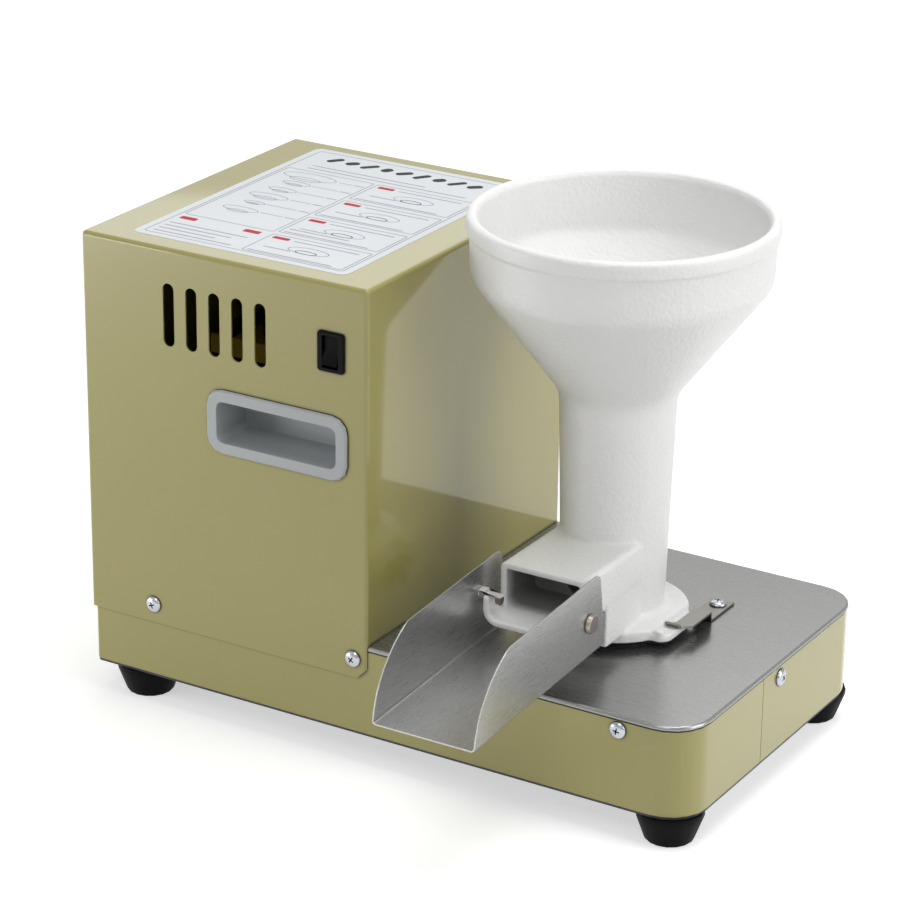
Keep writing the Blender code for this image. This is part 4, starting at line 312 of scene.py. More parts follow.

# The paint's seam value darkens it in narrow corners as painted shade
PAINT = dict(colour=(0.355, 0.32, 0.098), roughness=0.45, mottle=0.02, grain=0.0013,
             depth=0.000006, coat=1.0, coat_roughness=0.06, specular=0.25, seam=0.10)
FINISHES = {
    "cover_paint": PAINT,
    "skirt_paint": PAINT,
    "top_plate_steel": dict(colour=(0.34, 0.34, 0.335), roughness=0.27, metal=0.88, mottle=0.04,
                            grain=0.0007, depth=0.00003, stretch=(0.02, 1.0, 1.0)),
    "plated_steel": dict(colour=(0.45, 0.46, 0.47), roughness=0.38, metal=1.0, mottle=0.08,
                         grain=0.0030, depth=0.00001),
    "hopper_coating": dict(colour=(0.88, 0.88, 0.87), roughness=0.40, mottle=0.015, grain=0.0028,
                           depth=0.00065, coat=0.2, coat_roughness=0.25),
    "chute_steel": dict(colour=(0.55, 0.55, 0.545), roughness=0.28, metal=0.90, mottle=0.05,
                        grain=0.0008, depth=0.00006, stretch=(1.0, 0.03, 1.0)),
    "latch_steel": dict(colour=(0.30, 0.29, 0.26), roughness=0.30, metal=1.0, mottle=0.06,
                        grain=0.0009, depth=0.000010),
    "stud_steel": dict(colour=(0.40, 0.36, 0.33), roughness=0.34, metal=1.0, mottle=0.35,
                       grain=0.0016, depth=0.00004),
    "clip_steel": dict(colour=(0.85, 0.83, 0.80), roughness=0.30, metal=0.5, mottle=0.10,
                       grain=0.0010, depth=0.00002),
    # The screws' seam value darkens them in their recesses as painted shade
    "screw_zinc": dict(colour=(0.50, 0.52, 0.56), roughness=0.20, metal=1.0, mottle=0.06,
                       grain=0.0008, depth=0.000010, seam=0.05),
    "foot_rubber": dict(colour=(0.006, 0.006, 0.007), roughness=0.50, mottle=0.25, grain=0.0012,
                        depth=0.00003, specular=0.06),
    "handle_plastic": dict(colour=(0.44, 0.46, 0.47), roughness=0.38, mottle=0.02, grain=0.0009,
                           depth=0.000012),
    "switch_plastic": dict(colour=(0.005, 0.005, 0.006), roughness=0.32, mottle=0.20, grain=0.0009,
                           depth=0.00001, specular=0.08),
    "rocker_plastic": dict(colour=(0.006, 0.006, 0.006), roughness=0.30, mottle=0.20, grain=0.0014,
                           depth=0.000006, specular=0.05),
    "fitting_plastic": dict(colour=(0.014, 0.014, 0.016), roughness=0.42, mottle=0.20, grain=0.0010,
                            depth=0.00001),
    "capacitor_can": dict(colour=(0.60, 0.61, 0.62), roughness=0.30, metal=1.0, mottle=0.05,
                          grain=0.0010, depth=0.00001, stretch=(1.0, 1.0, 0.05)),
    "motor_iron": dict(colour=(0.050, 0.055, 0.060), roughness=0.60, metal=0.3, mottle=0.15,
                       grain=0.0016, depth=0.00008),
    "rotor_steel": dict(colour=(0.42, 0.42, 0.42), roughness=0.30, metal=1.0, mottle=0.06,
                        grain=0.0008, depth=0.00001, stretch=(1.0, 1.0, 0.1)),
    "bearing_steel": dict(colour=(0.55, 0.56, 0.57), roughness=0.20, metal=1.0, mottle=0.04,
                          grain=0.0008, depth=0.000006),
    "strap_zinc": dict(colour=(0.85, 0.58, 0.08), roughness=0.34, metal=0.3, mottle=0.20,
                       grain=0.0040, depth=0.00001),
    "belt_rubber": dict(colour=(0.014, 0.014, 0.014), roughness=0.65, mottle=0.20, grain=0.0014,
                        depth=0.00004),
    "pulley_iron": dict(colour=(0.22, 0.23, 0.24), roughness=0.45, metal=0.9, mottle=0.10,
                        grain=0.0014, depth=0.00004),
    "grinding_steel": dict(colour=(0.50, 0.50, 0.51), roughness=0.28, metal=1.0, mottle=0.06,
                           grain=0.0007, depth=0.000008),
    "auger_steel": dict(colour=(0.56, 0.56, 0.55), roughness=0.20, metal=1.0, mottle=0.05,
                        grain=0.0009, depth=0.000008),
    "sheet_white": dict(colour=(0.66, 0.70, 0.73), roughness=0.30, mottle=0.01, grain=0.0020,
                        depth=0.000004, coat=0.3),
    "sheet_grey": dict(colour=(0.33, 0.31, 0.38), roughness=0.35, specular=0.08, mottle=0.05,
                       grain=0.0020, depth=0.000004),
    "sheet_red": dict(colour=(0.52, 0.010, 0.016), roughness=0.35, specular=0.08, mottle=0.05,
                      grain=0.0020, depth=0.000004),
    "sheet_black": dict(colour=(0.010, 0.011, 0.014), roughness=0.35, specular=0.08, mottle=0.10,
                        grain=0.0020, depth=0.000004),
}


# Materials

def add(tree, kind, values=None, **settings):
    """A new node of a kind, with its settings and its sockets' values."""
    made = tree.nodes.new("ShaderNode" + kind)
    for setting, value in settings.items():
        setattr(made, setting, value)
    for socket, value in (values or {}).items():
        made.inputs[socket].default_value = value
    return made


def wire(tree, source, output, target, socket):
    tree.links.new(source.outputs[output], target.inputs[socket])


def blend(tree, share, output, low, high):
    """Mixes two colours by a node's output. Each is a colour or the socket that gives it."""
    mix = add(tree, "Mix", data_type="RGBA")
    wire(tree, share, output, mix, "Factor")
    for socket, colour in (("A", low), ("B", high)):
        if isinstance(colour, tuple):
            mix.inputs[socket].default_value = (*colour, 1.0)
        else:
            tree.links.new(colour, mix.inputs[socket])
    return mix.outputs["Result"]


def surface(name):
    """A new material, its node tree and its shader."""
    material = bpy.data.materials.new(name)
    material.use_nodes = True
    return material, material.node_tree, material.node_tree.nodes["Principled BSDF"]


def shade_seams(tree, colour, dark):
    """Painted shade: fades a colour to a dark one where another surface stands close in front."""
    corner = add(tree, "AmbientOcclusion", {"Distance": SEAM_REACH})
    clear = add(tree, "MapRange", {"From Min": SEAM_SHUT, "From Max": SEAM_OPEN})
    wire(tree, corner, "AO", clear, "Value")
    return blend(tree, clear, "Result", dark, colour)


def finish(name, colour, roughness, metal=0.0, mottle=0.05, grain=0.001, depth=0.00001,
           stretch=(1.0, 1.0, 1.0), coat=0.0, coat_roughness=0.12, specular=0.5, seam=1.0):
    """A surface whose colour drifts over centimetres and whose grain sets its gloss and its bump.

    grain is the grain's size, depth its height, and stretch below 1 draws it out along an axis.
    seam is the share of the colour that is left in narrow corners, as painted shade.
    """
    material, tree, shader = surface(name)
    shader.inputs["Metallic"].default_value = metal
    shader.inputs["Coat Weight"].default_value = coat
    shader.inputs["Coat Roughness"].default_value = coat_roughness
    shader.inputs["Specular IOR Level"].default_value = specular
    place = add(tree, "TexCoord")

    drift = add(tree, "TexNoise", {"Scale": DRIFT_SCALE, "Detail": DRIFT_DETAIL})
    wire(tree, place, "Object", drift, "Vector")
    darker, lighter = [tuple(min(c * share, 1.0) for c in colour) for share in (1.0 - mottle, 1.0 + mottle)]
    shown = blend(tree, drift, "Fac", darker, lighter)
    if seam < 1.0:
        shown = shade_seams(tree, shown, tuple(c * seam for c in colour))
    tree.links.new(shown, shader.inputs["Base Color"])

    drawn = add(tree, "Mapping", {"Scale": stretch})
    wire(tree, place, "Object", drawn, "Vector")
    speck = add(tree, "TexNoise", {"Scale": 1.0 / grain, "Detail": GRAIN_DETAIL,
                                   "Roughness": GRAIN_ROUGHNESS})
    wire(tree, drawn, "Vector", speck, "Vector")
    gloss = add(tree, "MapRange", {"To Min": roughness * (1.0 - GLOSS_DRIFT),
                                   "To Max": min(roughness * (1.0 + GLOSS_DRIFT), 1.0)})
    wire(tree, speck, "Fac", gloss, "Value")
    wire(tree, gloss, "Result", shader, "Roughness")
    bump = add(tree, "Bump", {"Distance": depth})
    wire(tree, speck, "Fac", bump, "Height")
    wire(tree, bump, "Normal", shader, "Normal")
    return material


# Outlines

def arc(x, y, radius, start, end, steps):
    """Points of an arc, its ends included. Angles are in quarter turns."""
    angles = [math.pi / 2 * (start + (end - start) * i / steps) for i in range(steps + 1)]
    return [(x + radius * math.cos(a), y + radius * math.sin(a)) for a in angles]


def circle(radius, steps, x=0.0, y=0.0):
    return arc(x, y, radius, 0, 4, steps)[:-1]


def rounded(corners, steps=FINE_STEPS):
    """A closed line of (x, y, radius) corners with each corner turned into an arc."""
    points = []
    for i, (x, y, radius) in enumerate(corners):
        if not radius:
            points.append((x, y))
            continue
        here = Vector((x, y))
        back = (Vector(corners[i - 1][:2]) - here).normalized()
        ahead = (Vector(corners[(i + 1) % len(corners)][:2]) - here).normalized()
        half = back.angle(ahead) / 2
        centre = here + (back + ahead).normalized() * (radius / math.sin(half))
        spoke = here + back * (radius / math.tan(half)) - centre
        turn = spoke.angle_signed(here + ahead * (radius / math.tan(half)) - centre)
        for k in range(steps + 1):
            arm = spoke.copy()
            arm.rotate(Matrix.Rotation(-turn * k / steps, 2))
            points.append(tuple(centre + arm))
    return points


def rectangle(left, front, right, back, radius=0.0):
    places = (left, front), (right, front), (right, back), (left, back)
    return rounded([(x, y, radius) for x, y in places])


# Meshes

def spot(axes, u, v, w):
    place = dict(zip(axes, (u, v, w)))
    return Vector((place["x"], place["y"], place["z"]))


def prism(bm, outline, low, high, axes="xyz"):
    """An outline pushed along the third named axis."""
    loops = [[bm.verts.new(spot(axes, u, v, w)) for u, v in outline] for w in (low, high)]
    for i in range(len(outline)):
        j = (i + 1) % len(outline)
        bm.faces.new((loops[0][i], loops[0][j], loops[1][j], loops[1][i]))
    bm.faces.new(list(reversed(loops[0])))
    bm.faces.new(loops[1])
    return bm


def band(bm, outer, inner, low, high):
    """The closed ring between two outlines of as many points."""
    loops = [[bm.verts.new((x, y, z)) for x, y in outline]
             for outline, z in ((outer, low), (outer, high), (inner, high), (inner, low))]
    for here, there in zip(loops, loops[1:] + loops[:1]):
        for i in range(len(outer)):
            j = (i + 1) % len(outer)
            bm.faces.new((here[i], here[j], there[j], there[i]))
    return bm


def spin(bm, profile, steps):
    """Turns a closed (radius, level) profile about Z. A radius of 0 is a pole."""
    rings = []
    for radius, level in profile:
        points = circle(radius, steps) if radius else [(0.0, 0.0)]
        rings.append([bm.verts.new((x, y, level)) for x, y in points])
    for low, high in zip(rings, rings[1:] + rings[:1]):
        if len(low) == 1 and len(high) == 1:
            continue
        for i in range(steps):
            j = (i + 1) % steps
            corners = [low[i % len(low)], low[j % len(low)], high[j % len(high)], high[i % len(high)]]
            bm.faces.new(list(dict.fromkeys(corners)))
    return bm


def piece(name, bm, place=(0.0, 0.0, 0.0)):
    """A bmesh as an object in the scene."""
    bmesh.ops.recalc_face_normals(bm, faces=bm.faces)
    mesh = bpy.data.meshes.new(name)
    bm.to_mesh(mesh)
    bm.free()
    thing = bpy.data.objects.new(name, mesh)
    thing.location = place
    bpy.context.collection.objects.link(thing)
    return thing


def settle(thing):
    """Puts the result of an object's modifiers into its mesh."""
    bpy.context.view_layer.update()
    shaped = bpy.data.meshes.new_from_object(thing.evaluated_get(bpy.context.evaluated_depsgraph_get()))
    thing.modifiers.clear()
    plain = thing.data
    thing.data = shaped
    bpy.data.meshes.remove(plain)


def shape(thing, bm, operation):
    """Joins or cuts a tool's solids, which are in the piece's own space."""
    tool = piece("tool", bm, thing.location)
    modifier = thing.modifiers.new("shape", "BOOLEAN")
    modifier.operation = operation
    modifier.solver = "EXACT"
    modifier.object = tool
    settle(thing)
    bpy.data.objects.remove(tool)


def join(thing, bm):
    shape(thing, bm, "UNION")


def cut(thing, bm):
    shape(thing, bm, "DIFFERENCE")


def dress(thing, body, slot, finish_name=None):
    """Gives a new piece its material, by its own finish or else by its slot's, and its body."""
    thing.data.materials.clear()
    thing.data.materials.append(finishes[finish_name or slot])
    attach(thing, body)


def vents():
    """The vents' outlines with finer round ends, through both walls of the cover."""
    low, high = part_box("motor_cover")
    bm = bmesh.new()
    radius = VENT_WIDTH / 2
    reach = VENT_LENGTH / 2 - radius
    z = high[2] - VENT_DROP
    for i in range(VENTS):
        x = low[0] + VENT_START + i * VENT_PITCH
        outline = arc(x, z + reach, radius, 0, 2, VENT_STEPS)
        outline += arc(x, z - reach, radius, 2, 4, VENT_STEPS)
        prism(bm, outline, low[1] - CUT_SPARE, high[1] + CUT_SPARE, "xzy")
    return bm


def refine(node, edge):
    """A node's solid made again in its place, with smooth bends and softened edges."""
    bm = bmesh.new()
    bm.from_mesh(frame["nodes"][node].data)
    bmesh.ops.remove_doubles(bm, verts=bm.verts, dist=WELD)
    bmesh.ops.dissolve_limit(bm, angle_limit=FLAT, verts=bm.verts, edges=bm.edges)
    if node.endswith("skirt"):
        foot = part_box(node)[0][2]
        for vert in bm.verts:
            vert.co.z = foot + (vert.co.z - foot) * SKIRT_KEPT
    thing = piece(node + "_form", bm)
    if node == "motor_cover":
        cut(thing, vents())
    if edge:
        soft = thing.modifiers.new("edge", "BEVEL")
        soft.width = edge
        soft.segments = EDGE_STEPS
        soft.limit_method = "ANGLE"
        soft.angle_limit = CREASE
        settle(thing)
    thing.data.shade_smooth()
    thing.data.set_sharp_from_angle(angle=CREASE)
    even = thing.modifiers.new("even", "WEIGHTED_NORMAL")
    even.keep_sharp = True
    settle(thing)
    dress(thing, bodies[node], slots[node], OWN_FINISH.get(node))
    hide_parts(node)


# Hopper

def hopper_body():
    """The casting's closed outer line, turned."""
    bead_low = HOPPER_HEIGHT - BEAD_HEIGHT
    corners = (
        (0.0, 0.0, 0.0),
        (SEAT_RADIUS, 0.0, 0.0),
        (SEAT_RADIUS, SEAT_HEIGHT, 0.0),
        (FLANGE_RADIUS, SEAT_HEIGHT, FLANGE_ROUND),
        (FLANGE_RADIUS, FLANGE_TOP, FLANGE_ROUND),
        (NECK_FOOT_RADIUS, FLANGE_TOP, FOOT_FILLET),
        (NECK_RADIUS, NECK_TAPER_HEIGHT, 0.0),
        (NECK_TOP_RADIUS, NECK_TOP_HEIGHT, NECK_ROUND),
        (SHOULDER_RADIUS, SHOULDER_HEIGHT, SHOULDER_ROUND),
        (RIM_RADIUS, bead_low, 0.0),
        (BEAD_RADIUS, bead_low, 0.0),
        (BEAD_RADIUS, HOPPER_HEIGHT, BEAD_ROUND),
        (0.0, HOPPER_HEIGHT, 0.0),
    )
    return spin(bmesh.new(), rounded(corners), TURNED_STEPS)


def hopper_hollow():
    """The bowl, the throat and the chamber."""
    mouth = RIM_RADIUS - HOPPER_WALL
    top = HOPPER_HEIGHT + CUT_SPARE
    corners = (
        (0.0, CHAMBER_FLOOR, 0.0),
        (CHAMBER_RADIUS, CHAMBER_FLOOR, 0.0),
        (CHAMBER_RADIUS, LEDGE_HEIGHT, 0.0),
        (BORE_RADIUS, LEDGE_HEIGHT, 0.0),
        (BORE_RADIUS, NECK_TOP_HEIGHT, BORE_ROUND),
        (SHOULDER_RADIUS - HOPPER_WALL, SHOULDER_HEIGHT, SHOULDER_ROUND - HOPPER_WALL),
        (mouth, HOPPER_HEIGHT - BEAD_ROUND, 0.0),
        (mouth + BEAD_ROUND / 2, HOPPER_HEIGHT, 0.0),
        (mouth + BEAD_ROUND / 2, top, 0.0),
        (0.0, top, 0.0),
    )
    return spin(bmesh.new(), rounded(corners), TURNED_STEPS)


def duct_section(grow):
    """The duct's outline across its flow, grown outwards by a distance."""
    half = DUCT_WIDTH / 2 + grow
    low_round = TROUGH_ROUND + grow
    high_round = max(DUCT_ROUND + grow, 0.0)
    corners = (
        (-half, DUCT_RISE - grow, low_round),
        (half, DUCT_RISE - grow, low_round),
        (half, DUCT_TOP + grow, high_round),
        (-half, DUCT_TOP + grow, high_round),
    )
    return rounded(corners)


def hook_outline():
    """The notch behind the trough's horn, in y and z, that the chute's pin drops into."""
    horn = -TROUGH_FRONT + HORN_LENGTH
    top = TROUGH_TOP + CUT_SPARE
    outline = [(horn, top), (horn, TROUGH_TOP - HOOK_DROP)]
    outline += arc(-PIN_OUT, PIN_HEIGHT, PIN_HOLE_RADIUS, HOOK_START, 4, FINE_STEPS)
    outline += [(-PIN_OUT + PIN_HOLE_RADIUS, top)]
    return outline


def paint_duct_and_seat_shade(material):
    """Painted shade: fades the coating to dark grey inside the duct and to black on the seat and below it.
    """
    tree = material.node_tree
    base = tree.nodes["Principled BSDF"].inputs["Base Color"]
    place = add(tree, "TexCoord")
    axes = add(tree, "SeparateXYZ")
    wire(tree, place, "Object", axes, "Vector")
    inside = add(tree, "MapRange", {"From Min": DUCT_SHADE_START - DUCT_FRONT, "From Max": DUCT_SHADE_END - DUCT_FRONT})
    wire(tree, axes, "Y", inside, "Value")
    share = inside, "Result"
    for axis, middle, reach in (
        ("X", 0.0, (DUCT_WIDTH - DUCT_WALL) / 2),
        ("Z", (DUCT_TOP + DUCT_RISE) / 2, (DUCT_TOP - DUCT_RISE - DUCT_WALL) / 2),
    ):
        within = add(tree, "Math", {1: middle, 2: reach}, operation="COMPARE")
        wire(tree, axes, axis, within, 0)
        both = add(tree, "Math", operation="MULTIPLY")
        wire(tree, *share, both, 0)
        wire(tree, within, "Value", both, 1)
        share = both, "Value"
    low = add(tree, "MapRange", {"From Min": SEAT_SHADE_TOP, "From Max": SEAT_SHADE_TOP - SEAT_FADE})
    wire(tree, axes, "Z", low, "Value")
    # Painted shade: dark grey deep in the duct, black on the seat and under the flange
    duct_shaded = blend(tree, *share, base.links[0].from_socket, DUCT_SHADE_GREY)
    tree.links.new(blend(tree, low, "Result", duct_shaded, SEAT_SHADE_BLACK), base)


def add_lugs(hopper):
    """The two lugs that the latches hold, each with its ledge and its stop."""
    for side in (1, -1):
        corners = (
            (side * (LEDGE_IN - LUG_ROUND), -side * LUG_FRONT, 0.0),
            (side * LUG_REACH, -side * LUG_FRONT, LUG_ROUND),
            (side * LUG_REACH, side * LUG_BACK, LUG_ROUND / 2),
            (side * (LEDGE_IN - LUG_ROUND), side * LUG_BACK, 0.0),
        )
        join(hopper, prism(bmesh.new(), rounded(corners), SEAT_HEIGHT, LUG_TOP))
        near, far = sorted((side * LEDGE_IN, side * (LUG_REACH + CUT_SPARE)))
        ledge = rectangle(near, -FLANGE_RADIUS, far, FLANGE_RADIUS)
        cut(hopper, prism(bmesh.new(), ledge, LUG_TOP, FLANGE_TOP + CUT_SPARE))
        stop = circle(STOP_RADIUS, FINE_STEPS * 2, side * (LEDGE_IN + STOP_RADIUS),
                      -side * (LUG_FRONT - STOP_RADIUS))
        join(hopper, prism(bmesh.new(), stop, SEAT_HEIGHT, STOP_TOP))


def hollow_out(hopper):
    """Cuts the bowl and chamber, the shaft's way in, the duct, its passage and the trough's hooks."""
    cut(hopper, hopper_hollow())
    nose = circle(NOSE_HOLE_RADIUS, TURNED_STEPS // 2)
    cut(hopper, prism(bmesh.new(), nose, -CUT_SPARE, NOSE_HOLE_TOP))
    shaft = circle(SHAFT_HOLE_RADIUS, TURNED_STEPS // 4)
    cut(hopper, prism(bmesh.new(), shaft, NOSE_HOLE_TOP - CUT_SPARE, CHAMBER_FLOOR + CUT_SPARE))
    inner = duct_section(-DUCT_WALL)
    cut(hopper, prism(bmesh.new(), inner, -TROUGH_FRONT - CUT_SPARE, -PASSAGE_BACK, "xzy"))
    passage = circle(PASSAGE_RADIUS, TURNED_STEPS // 4, PASSAGE_SHIFT, PASSAGE_HEIGHT)
    cut(hopper, prism(bmesh.new(), passage, -PASSAGE_BACK - CUT_SPARE, -PASSAGE_RADIUS, "xzy"))
    over = rectangle(-DUCT_WIDTH, -TROUGH_FRONT - CUT_SPARE, DUCT_WIDTH, -DUCT_FRONT)
    cut(hopper, prism(bmesh.new(), over, TROUGH_TOP, DUCT_TOP + CUT_SPARE))
    cut(hopper, prism(bmesh.new(), hook_outline(), -DUCT_WIDTH, DUCT_WIDTH, "yzx"))


def cast(hopper):
    """Gives a casting's soft fillets by voxels and smoothing."""
    remesh = hopper.modifiers.new("cast", "REMESH")
    remesh.mode = "VOXEL"
    remesh.voxel_size = CAST_VOXEL
    soften = hopper.modifiers.new("soften", "SMOOTH")
    soften.factor = CAST_EASE
    soften.iterations = CAST_SMOOTHING
    thin = hopper.modifiers.new("thin", "DECIMATE")
    thin.ratio = CAST_KEPT
    settle(hopper)
    hopper.data.shade_smooth()


def make_hopper():
    """The white casting, from its seat on the top plate."""
    low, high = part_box("hopper")
    axis = ((low[0] + high[0]) / 2, high[1] - BEAD_RADIUS, low[2])
    hopper = piece("hopper_casting", hopper_body(), axis)
    join(hopper, prism(bmesh.new(), duct_section(0.0), -TROUGH_FRONT, 0.0, "xzy"))
    pedestal = rectangle(-PEDESTAL_HALF, -PEDESTAL_FRONT, PEDESTAL_HALF, 0.0)
    join(hopper, prism(bmesh.new(), pedestal, FLANGE_TOP - FLANGE_ROUND, DUCT_RISE + TROUGH_ROUND))
    add_lugs(hopper)
    hollow_out(hopper)
    cast(hopper)
    dress(hopper, "base", "hopper_coating")
    # Painted shade inside the duct and under the flange
    paint_duct_and_seat_shade(finishes["hopper_coating"])
    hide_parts("hopper")


# Screws

def screw_mesh():
    """A domed head with a cross recess over a plain shank, its seat at level 0."""
    dome = [(HEAD_RADIUS * math.cos(a), HEAD_HEIGHT * math.sin(a) ** DOME_POWER)
            for a in [math.pi / 2 * i / FINE_STEPS for i in range(FINE_STEPS + 1)]]
    profile = [(0.0, -SHANK_LENGTH), (SHANK_RADIUS, -SHANK_LENGTH), (SHANK_RADIUS, 0.0)] + dome[:-1]
    profile += [(0.0, HEAD_HEIGHT)]
    screw = piece("screw_pattern", spin(bmesh.new(), profile, SCREW_STEPS))
    for along, across in ((RECESS_REACH, RECESS_HALF), (RECESS_HALF, RECESS_REACH)):
        bm = prism(bmesh.new(), rectangle(-along, -across, along, across), HEAD_HEIGHT - RECESS_DEPTH,
                   HEAD_HEIGHT + RECESS_DEPTH)
        for vert in bm.verts:
            if vert.co.z < HEAD_HEIGHT:
                vert.co.x *= RECESS_TAPER
                vert.co.y *= RECESS_TAPER
        cut(screw, bm)
    mesh = screw.data
    bpy.data.objects.remove(screw)
    mesh.shade_smooth()
    mesh.set_sharp_from_angle(angle=CREASE)
    return mesh


def make_screws():
    """Cross-recess screws in place of the plain ones that show."""
    pattern = screw_mesh()
    for node, (facing, degrees) in SCREWS.items():
        turn = FACINGS[facing]
        low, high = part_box(node)
        middle = (Vector(low) + Vector(high)) / 2
        outward = turn @ Vector((0.0, 0.0, 1.0))
        span = Vector(high) - Vector(low)
        top = middle + outward * abs(span.dot(outward)) / 2
        screw = bpy.data.objects.new(node + "_cross", pattern.copy())
        spun = Matrix.Rotation(math.radians(degrees), 4, "Z")
        screw.matrix_world = Matrix.Translation(top - outward * HEAD_HEIGHT) @ turn @ spun
        bpy.context.collection.objects.link(screw)
        dress(screw, "base", "screw_zinc")
        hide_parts(node)


# The sheet on the cover

def print_bar(bm, left, front, right, back, radius=0.0):
    """A printed bar."""
    prism(bm, rectangle(left, front, right, back, radius), *INK_LEVELS)


def print_box(bm, left, front, right, back, radius):
    """A printed line round a rectangle."""
    inner = rectangle(left + PRINT_LINE, front + PRINT_LINE, right - PRINT_LINE, back - PRINT_LINE,
                      radius - PRINT_LINE)
    band(bm, rectangle(left, front, right, back, radius), inner, *INK_LEVELS)


def print_ring(bm, x, y, across, along):
    """A printed line round an oval."""
    spots = circle(1.0, RING_STEPS)
    outer, inner = [[(x + a * (across - line), y + b * (along - line)) for a, b in spots]
                    for line in (0.0, PRINT_LINE)]
    band(bm, outer, inner, *INK_LEVELS)


def print_stroke(bm, x, y, length, width, degrees):
    """A bold stroke with round ends, turned about its middle."""
    stroke = rectangle(-length, -width / 2, length, width / 2, width * STROKE_ROUND)
    turn = math.radians(degrees)
    along = Vector((math.cos(turn), math.sin(turn)))
    turned = [(x + a * along.x - b * along.y, y + a * along.y + b * along.x) for a, b in stroke]
    prism(bm, turned, *INK_LEVELS)


def print_rows(bm, left, right, front, rows):
    """Fine lines of different lengths, one above another."""
    for row in range(rows):
        short = (right - left) * DASH_SHORTER * (row * 2 % 3)
        level = front + DASH_STEP * row
        print_bar(bm, left, level, right - short, level + DASH_WIDTH)


def print_heading(inks, left, right, front):
    """A row of separate slanted strokes over fine dashes."""
    place = (right - left) / (len(STROKES) + 2)
    for k, (share, degrees) in enumerate(STROKES):
        middle = left + place * (k + 1) + place / 2
        print_stroke(inks["sheet_black"], middle, front + STROKES_LEVEL, place * share,
                     STROKE_WIDTH * (1 - share), degrees)
    print_rows(inks["sheet_grey"], left + place, right - place, front + DASH_STEP / 2,
               HEADING_ROWS)


def print_figures(inks, left, right, front, back):
    """A box of oval figures on one line, with a pointer beside each."""
    grey = inks["sheet_grey"]
    print_box(grey, left, front + PRINT_GUTTER, right, back - PRINT_GUTTER, BOX_ROUND)
    middle = left + (right - left) * FIGURES_ACROSS
    for k, share in enumerate(FIGURES):
        level = back - FIGURES_DROP - (back - front) * FIGURE_STEP * k
        reach = (right - left) * share
        for across, along, below in FIGURE_RINGS:
            print_ring(grey, middle, level - reach * below, reach * across, reach * along)
        start = middle + reach * LEADER_START
        print_bar(grey, start, level, right - LEADER_END, level + PRINT_LINE)
        print_bar(grey, right - POINT_START, level, right - PRINT_GUTTER, level + DASH_WIDTH)


def print_notes(inks, left, right, front, back):
    """Rows of dashes under two tags."""
    print_rows(inks["sheet_grey"], left + PRINT_GUTTER, right - NOTES_END, front, NOTES_ROWS)
    high = back - NOTES_TAG_GAP
    for tag in (left + PRINT_GUTTER, right - NOTES_TAG_INSET - TAG_LENGTH):
        print_bar(inks["sheet_red"], tag, high - TAG_WIDTH, tag + TAG_LENGTH, high, TAG_ROUND)


def print_cell(inks, left, right, front, back, rows):
    """A box with a tag and its line, a figure and its pointer, and rows of dashes."""
    grey = inks["sheet_grey"]
    print_box(grey, left, front + PRINT_GUTTER, right - PRINT_GUTTER, back - PRINT_GUTTER, BOX_ROUND)
    start = left + CELL_MARGIN
    top = back - PRINT_GUTTER * 2 - TAG_WIDTH
    print_bar(inks["sheet_red"], start, top, start + TAG_LENGTH, top + CELL_TAG_WIDTH, TAG_ROUND)
    line = top + DASH_WIDTH
    print_bar(grey, start + CELL_LINE_START, line, right - CELL_LINE_END, line + DASH_WIDTH)
    centre = (left + right) / 2
    middle = (front + back) / 2
    print_ring(grey, centre, middle, *CELL_RING)
    print_ring(inks["sheet_black"], centre, middle - DASH_STEP / 2, *CELL_INNER_RING)
    low = middle - DASH_STEP
    print_bar(grey, centre - CELL_POINTER_START, low, centre - CELL_POINTER_END, low + DASH_WIDTH)
    print_rows(grey, start, right - CELL_DASHES_END, front + PRINT_GUTTER * 2, rows)


def make_sheet():
    """A plain sheet of boxes, dashes, tags and simple figures, with no lettering."""
    low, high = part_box("motor_cover")
    corner = (low[0] + SHEET_LEFT, low[1] + SHEET_FRONT, high[2])
    outline = rectangle(0.0, 0.0, SHEET_LENGTH, SHEET_DEPTH, SHEET_ROUND)
    sheet = piece("cover_sheet", prism(bmesh.new(), outline, 0.0, SHEET_THICKNESS), corner)
    dress(sheet, "base", "cover_paint", "sheet_white")
    inks = {ink: bmesh.new() for ink in ("sheet_grey", "sheet_red", "sheet_black")}
    right = SHEET_LENGTH - PRINT_MARGIN
    back = SHEET_DEPTH - PRINT_MARGIN
    head = back - HEADING_DEPTH
    foot = PRINT_MARGIN + (head - PRINT_MARGIN) * FIGURES_FOOT
    column = PRINT_MARGIN + PRINT_GUTTER, PRINT_SPLIT - PRINT_GUTTER
    print_box(inks["sheet_grey"], PRINT_MARGIN, PRINT_MARGIN, right, back, PRINT_ROUND)
    print_heading(inks, PRINT_MARGIN, right, head)
    print_figures(inks, *column, foot, head)
    print_notes(inks, *column, PRINT_MARGIN + PRINT_GUTTER * 2, foot)
    cell = (head - PRINT_MARGIN) / len(CELL_ROWS)
    for k, rows in enumerate(CELL_ROWS):
        front = PRINT_MARGIN + cell * k
        print_cell(inks, PRINT_SPLIT, right, front, front + cell, rows)
    for ink, bm in inks.items():
        dress(piece("cover_" + ink, bm, corner), "base", "cover_paint", ink)


# Studio

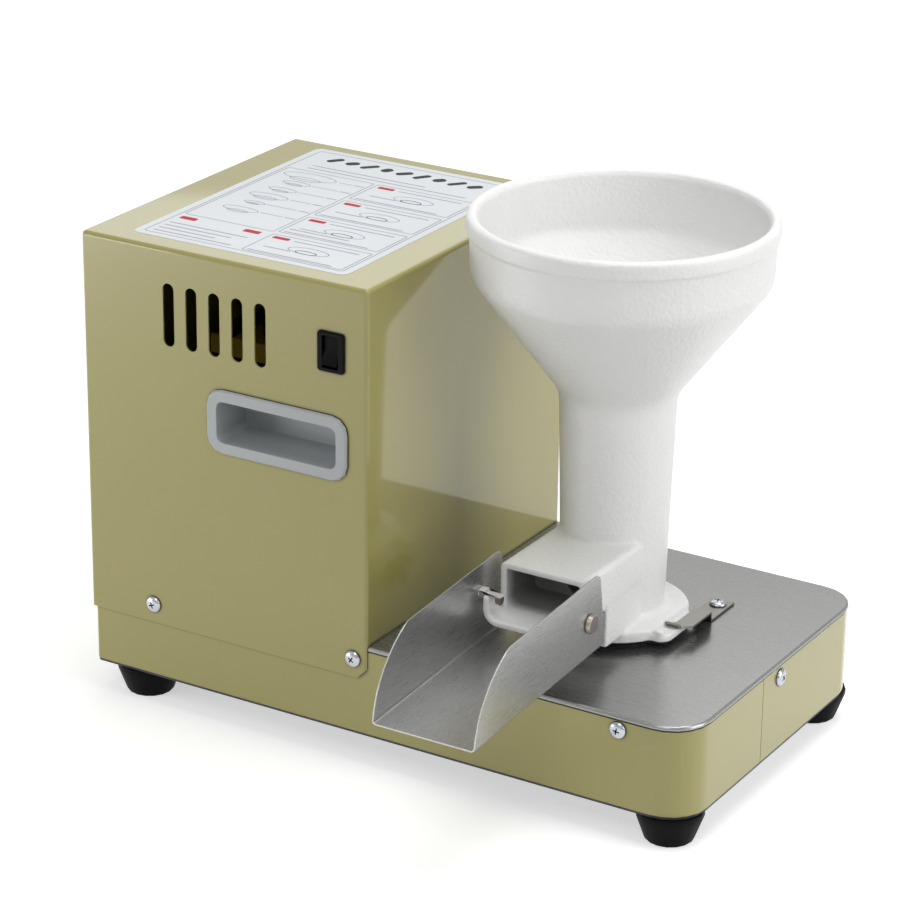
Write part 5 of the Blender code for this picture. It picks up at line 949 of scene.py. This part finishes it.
def make_floor():
    """A white floor that keeps the object's soft shadow and reads as white to the camera."""
    outline = rectangle(-FLOOR_REACH, -FLOOR_REACH, FLOOR_REACH, FLOOR_REACH)
    floor = piece("studio_floor", prism(bmesh.new(), outline, -FLOOR_THICKNESS, 0.0))
    material, tree, shader = surface("studio_floor")
    shader.inputs["Base Color"].default_value = (*FLOOR_WHITE, 1.0)
    shader.inputs["Roughness"].default_value = FLOOR_ROUGHNESS
    shader.inputs["Specular IOR Level"].default_value = 0.0
    shader.inputs["Emission Color"].default_value = (1.0, 1.0, 1.0, 1.0)
    rays = add(tree, "LightPath")
    seen = add(tree, "Math", operation="MAXIMUM")
    wire(tree, rays, "Is Camera Ray", seen, 0)
    wire(tree, rays, "Is Glossy Ray", seen, 1)
    place = add(tree, "TexCoord")
    distance = add(tree, "VectorMath", operation="LENGTH")
    wire(tree, place, "Object", distance, 0)
    reach = {"From Min": GLOW_START, "From Max": GLOW_END, "To Min": GLOW_NEAR, "To Max": GLOW_FAR}
    level = add(tree, "MapRange", reach, interpolation_type="SMOOTHSTEP")
    wire(tree, distance, "Value", level, "Value")
    glow = add(tree, "Math", operation="MULTIPLY")
    wire(tree, seen, "Value", glow, 0)
    wire(tree, level, "Result", glow, 1)
    wire(tree, glow, "Value", shader, "Emission Strength")
    floor.data.materials.append(material)


def make_world():
    """An even surround: white to the camera, a little darker in mirrors, and dim as a lamp."""
    world = bpy.data.worlds.new("studio")
    bpy.context.scene.world = world
    world.use_nodes = True
    tree = world.node_tree
    ground = tree.nodes["Background"]
    ground.inputs["Color"].default_value = (1.0, 1.0, 1.0, 1.0)
    rays = add(tree, "LightPath")
    mirrored = add(tree, "MapRange", {"To Min": WORLD_AMBIENT, "To Max": WORLD_MIRRORED})
    wire(tree, rays, "Is Glossy Ray", mirrored, "Value")
    seen = add(tree, "Math", operation="MAXIMUM")
    wire(tree, mirrored, "Result", seen, 0)
    wire(tree, rays, "Is Camera Ray", seen, 1)
    wire(tree, seen, "Value", ground, "Strength")


def make_lamp(name, place, aim, size, power):
    lamp = bpy.data.lights.new(name, "AREA")
    lamp.shape = "RECTANGLE"
    lamp.size, lamp.size_y = size
    lamp.energy = power
    holder = bpy.data.objects.new(name, lamp)
    holder.location = place
    holder.rotation_euler = (Vector(aim) - Vector(place)).to_track_quat("-Z", "Y").to_euler()
    holder.visible_camera = False
    bpy.context.collection.objects.link(holder)


def make_camera():
    lens = bpy.data.cameras.new("photograph")
    lens.sensor_width = SENSOR
    lens.lens = LENS
    camera = bpy.data.objects.new("photograph", lens)
    turn = Matrix.Rotation(CAMERA_AZIMUTH, 4, "Z") @ Matrix.Rotation(math.pi / 2 - CAMERA_ELEVATION, 4, "X")
    roll = Matrix.Rotation(CAMERA_ROLL, 4, "Z")
    camera.matrix_world = Matrix.Translation(CAMERA_PLACE) @ turn @ roll
    bpy.context.collection.objects.link(camera)
    bpy.context.scene.camera = camera


def corners(box):
    return [[float(v) for v in corner] for corner in box]


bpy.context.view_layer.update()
finishes = {name: finish(name, **values) for name, values in FINISHES.items()}
slots = {part["node"]: part["material_slot"] for part in frame["record"]["subparts"]}
bodies = {node: body for body, nodes in frame["record"]["behaviour"]["bodies"].items() for node in nodes}
for node, thing in frame["nodes"].items():
    for slot in thing.material_slots:
        slot.material = finishes[slots[node]]
make_camera()
make_world()
make_floor()
for name, lamp in LAMPS.items():
    make_lamp(name, *lamp)
make_hopper()
for node, edge in SOFTENED.items():
    refine(node, edge)
make_screws()
make_sheet()
bpy.context.scene.view_settings.view_transform = "Standard"
bpy.context.view_layer.update()
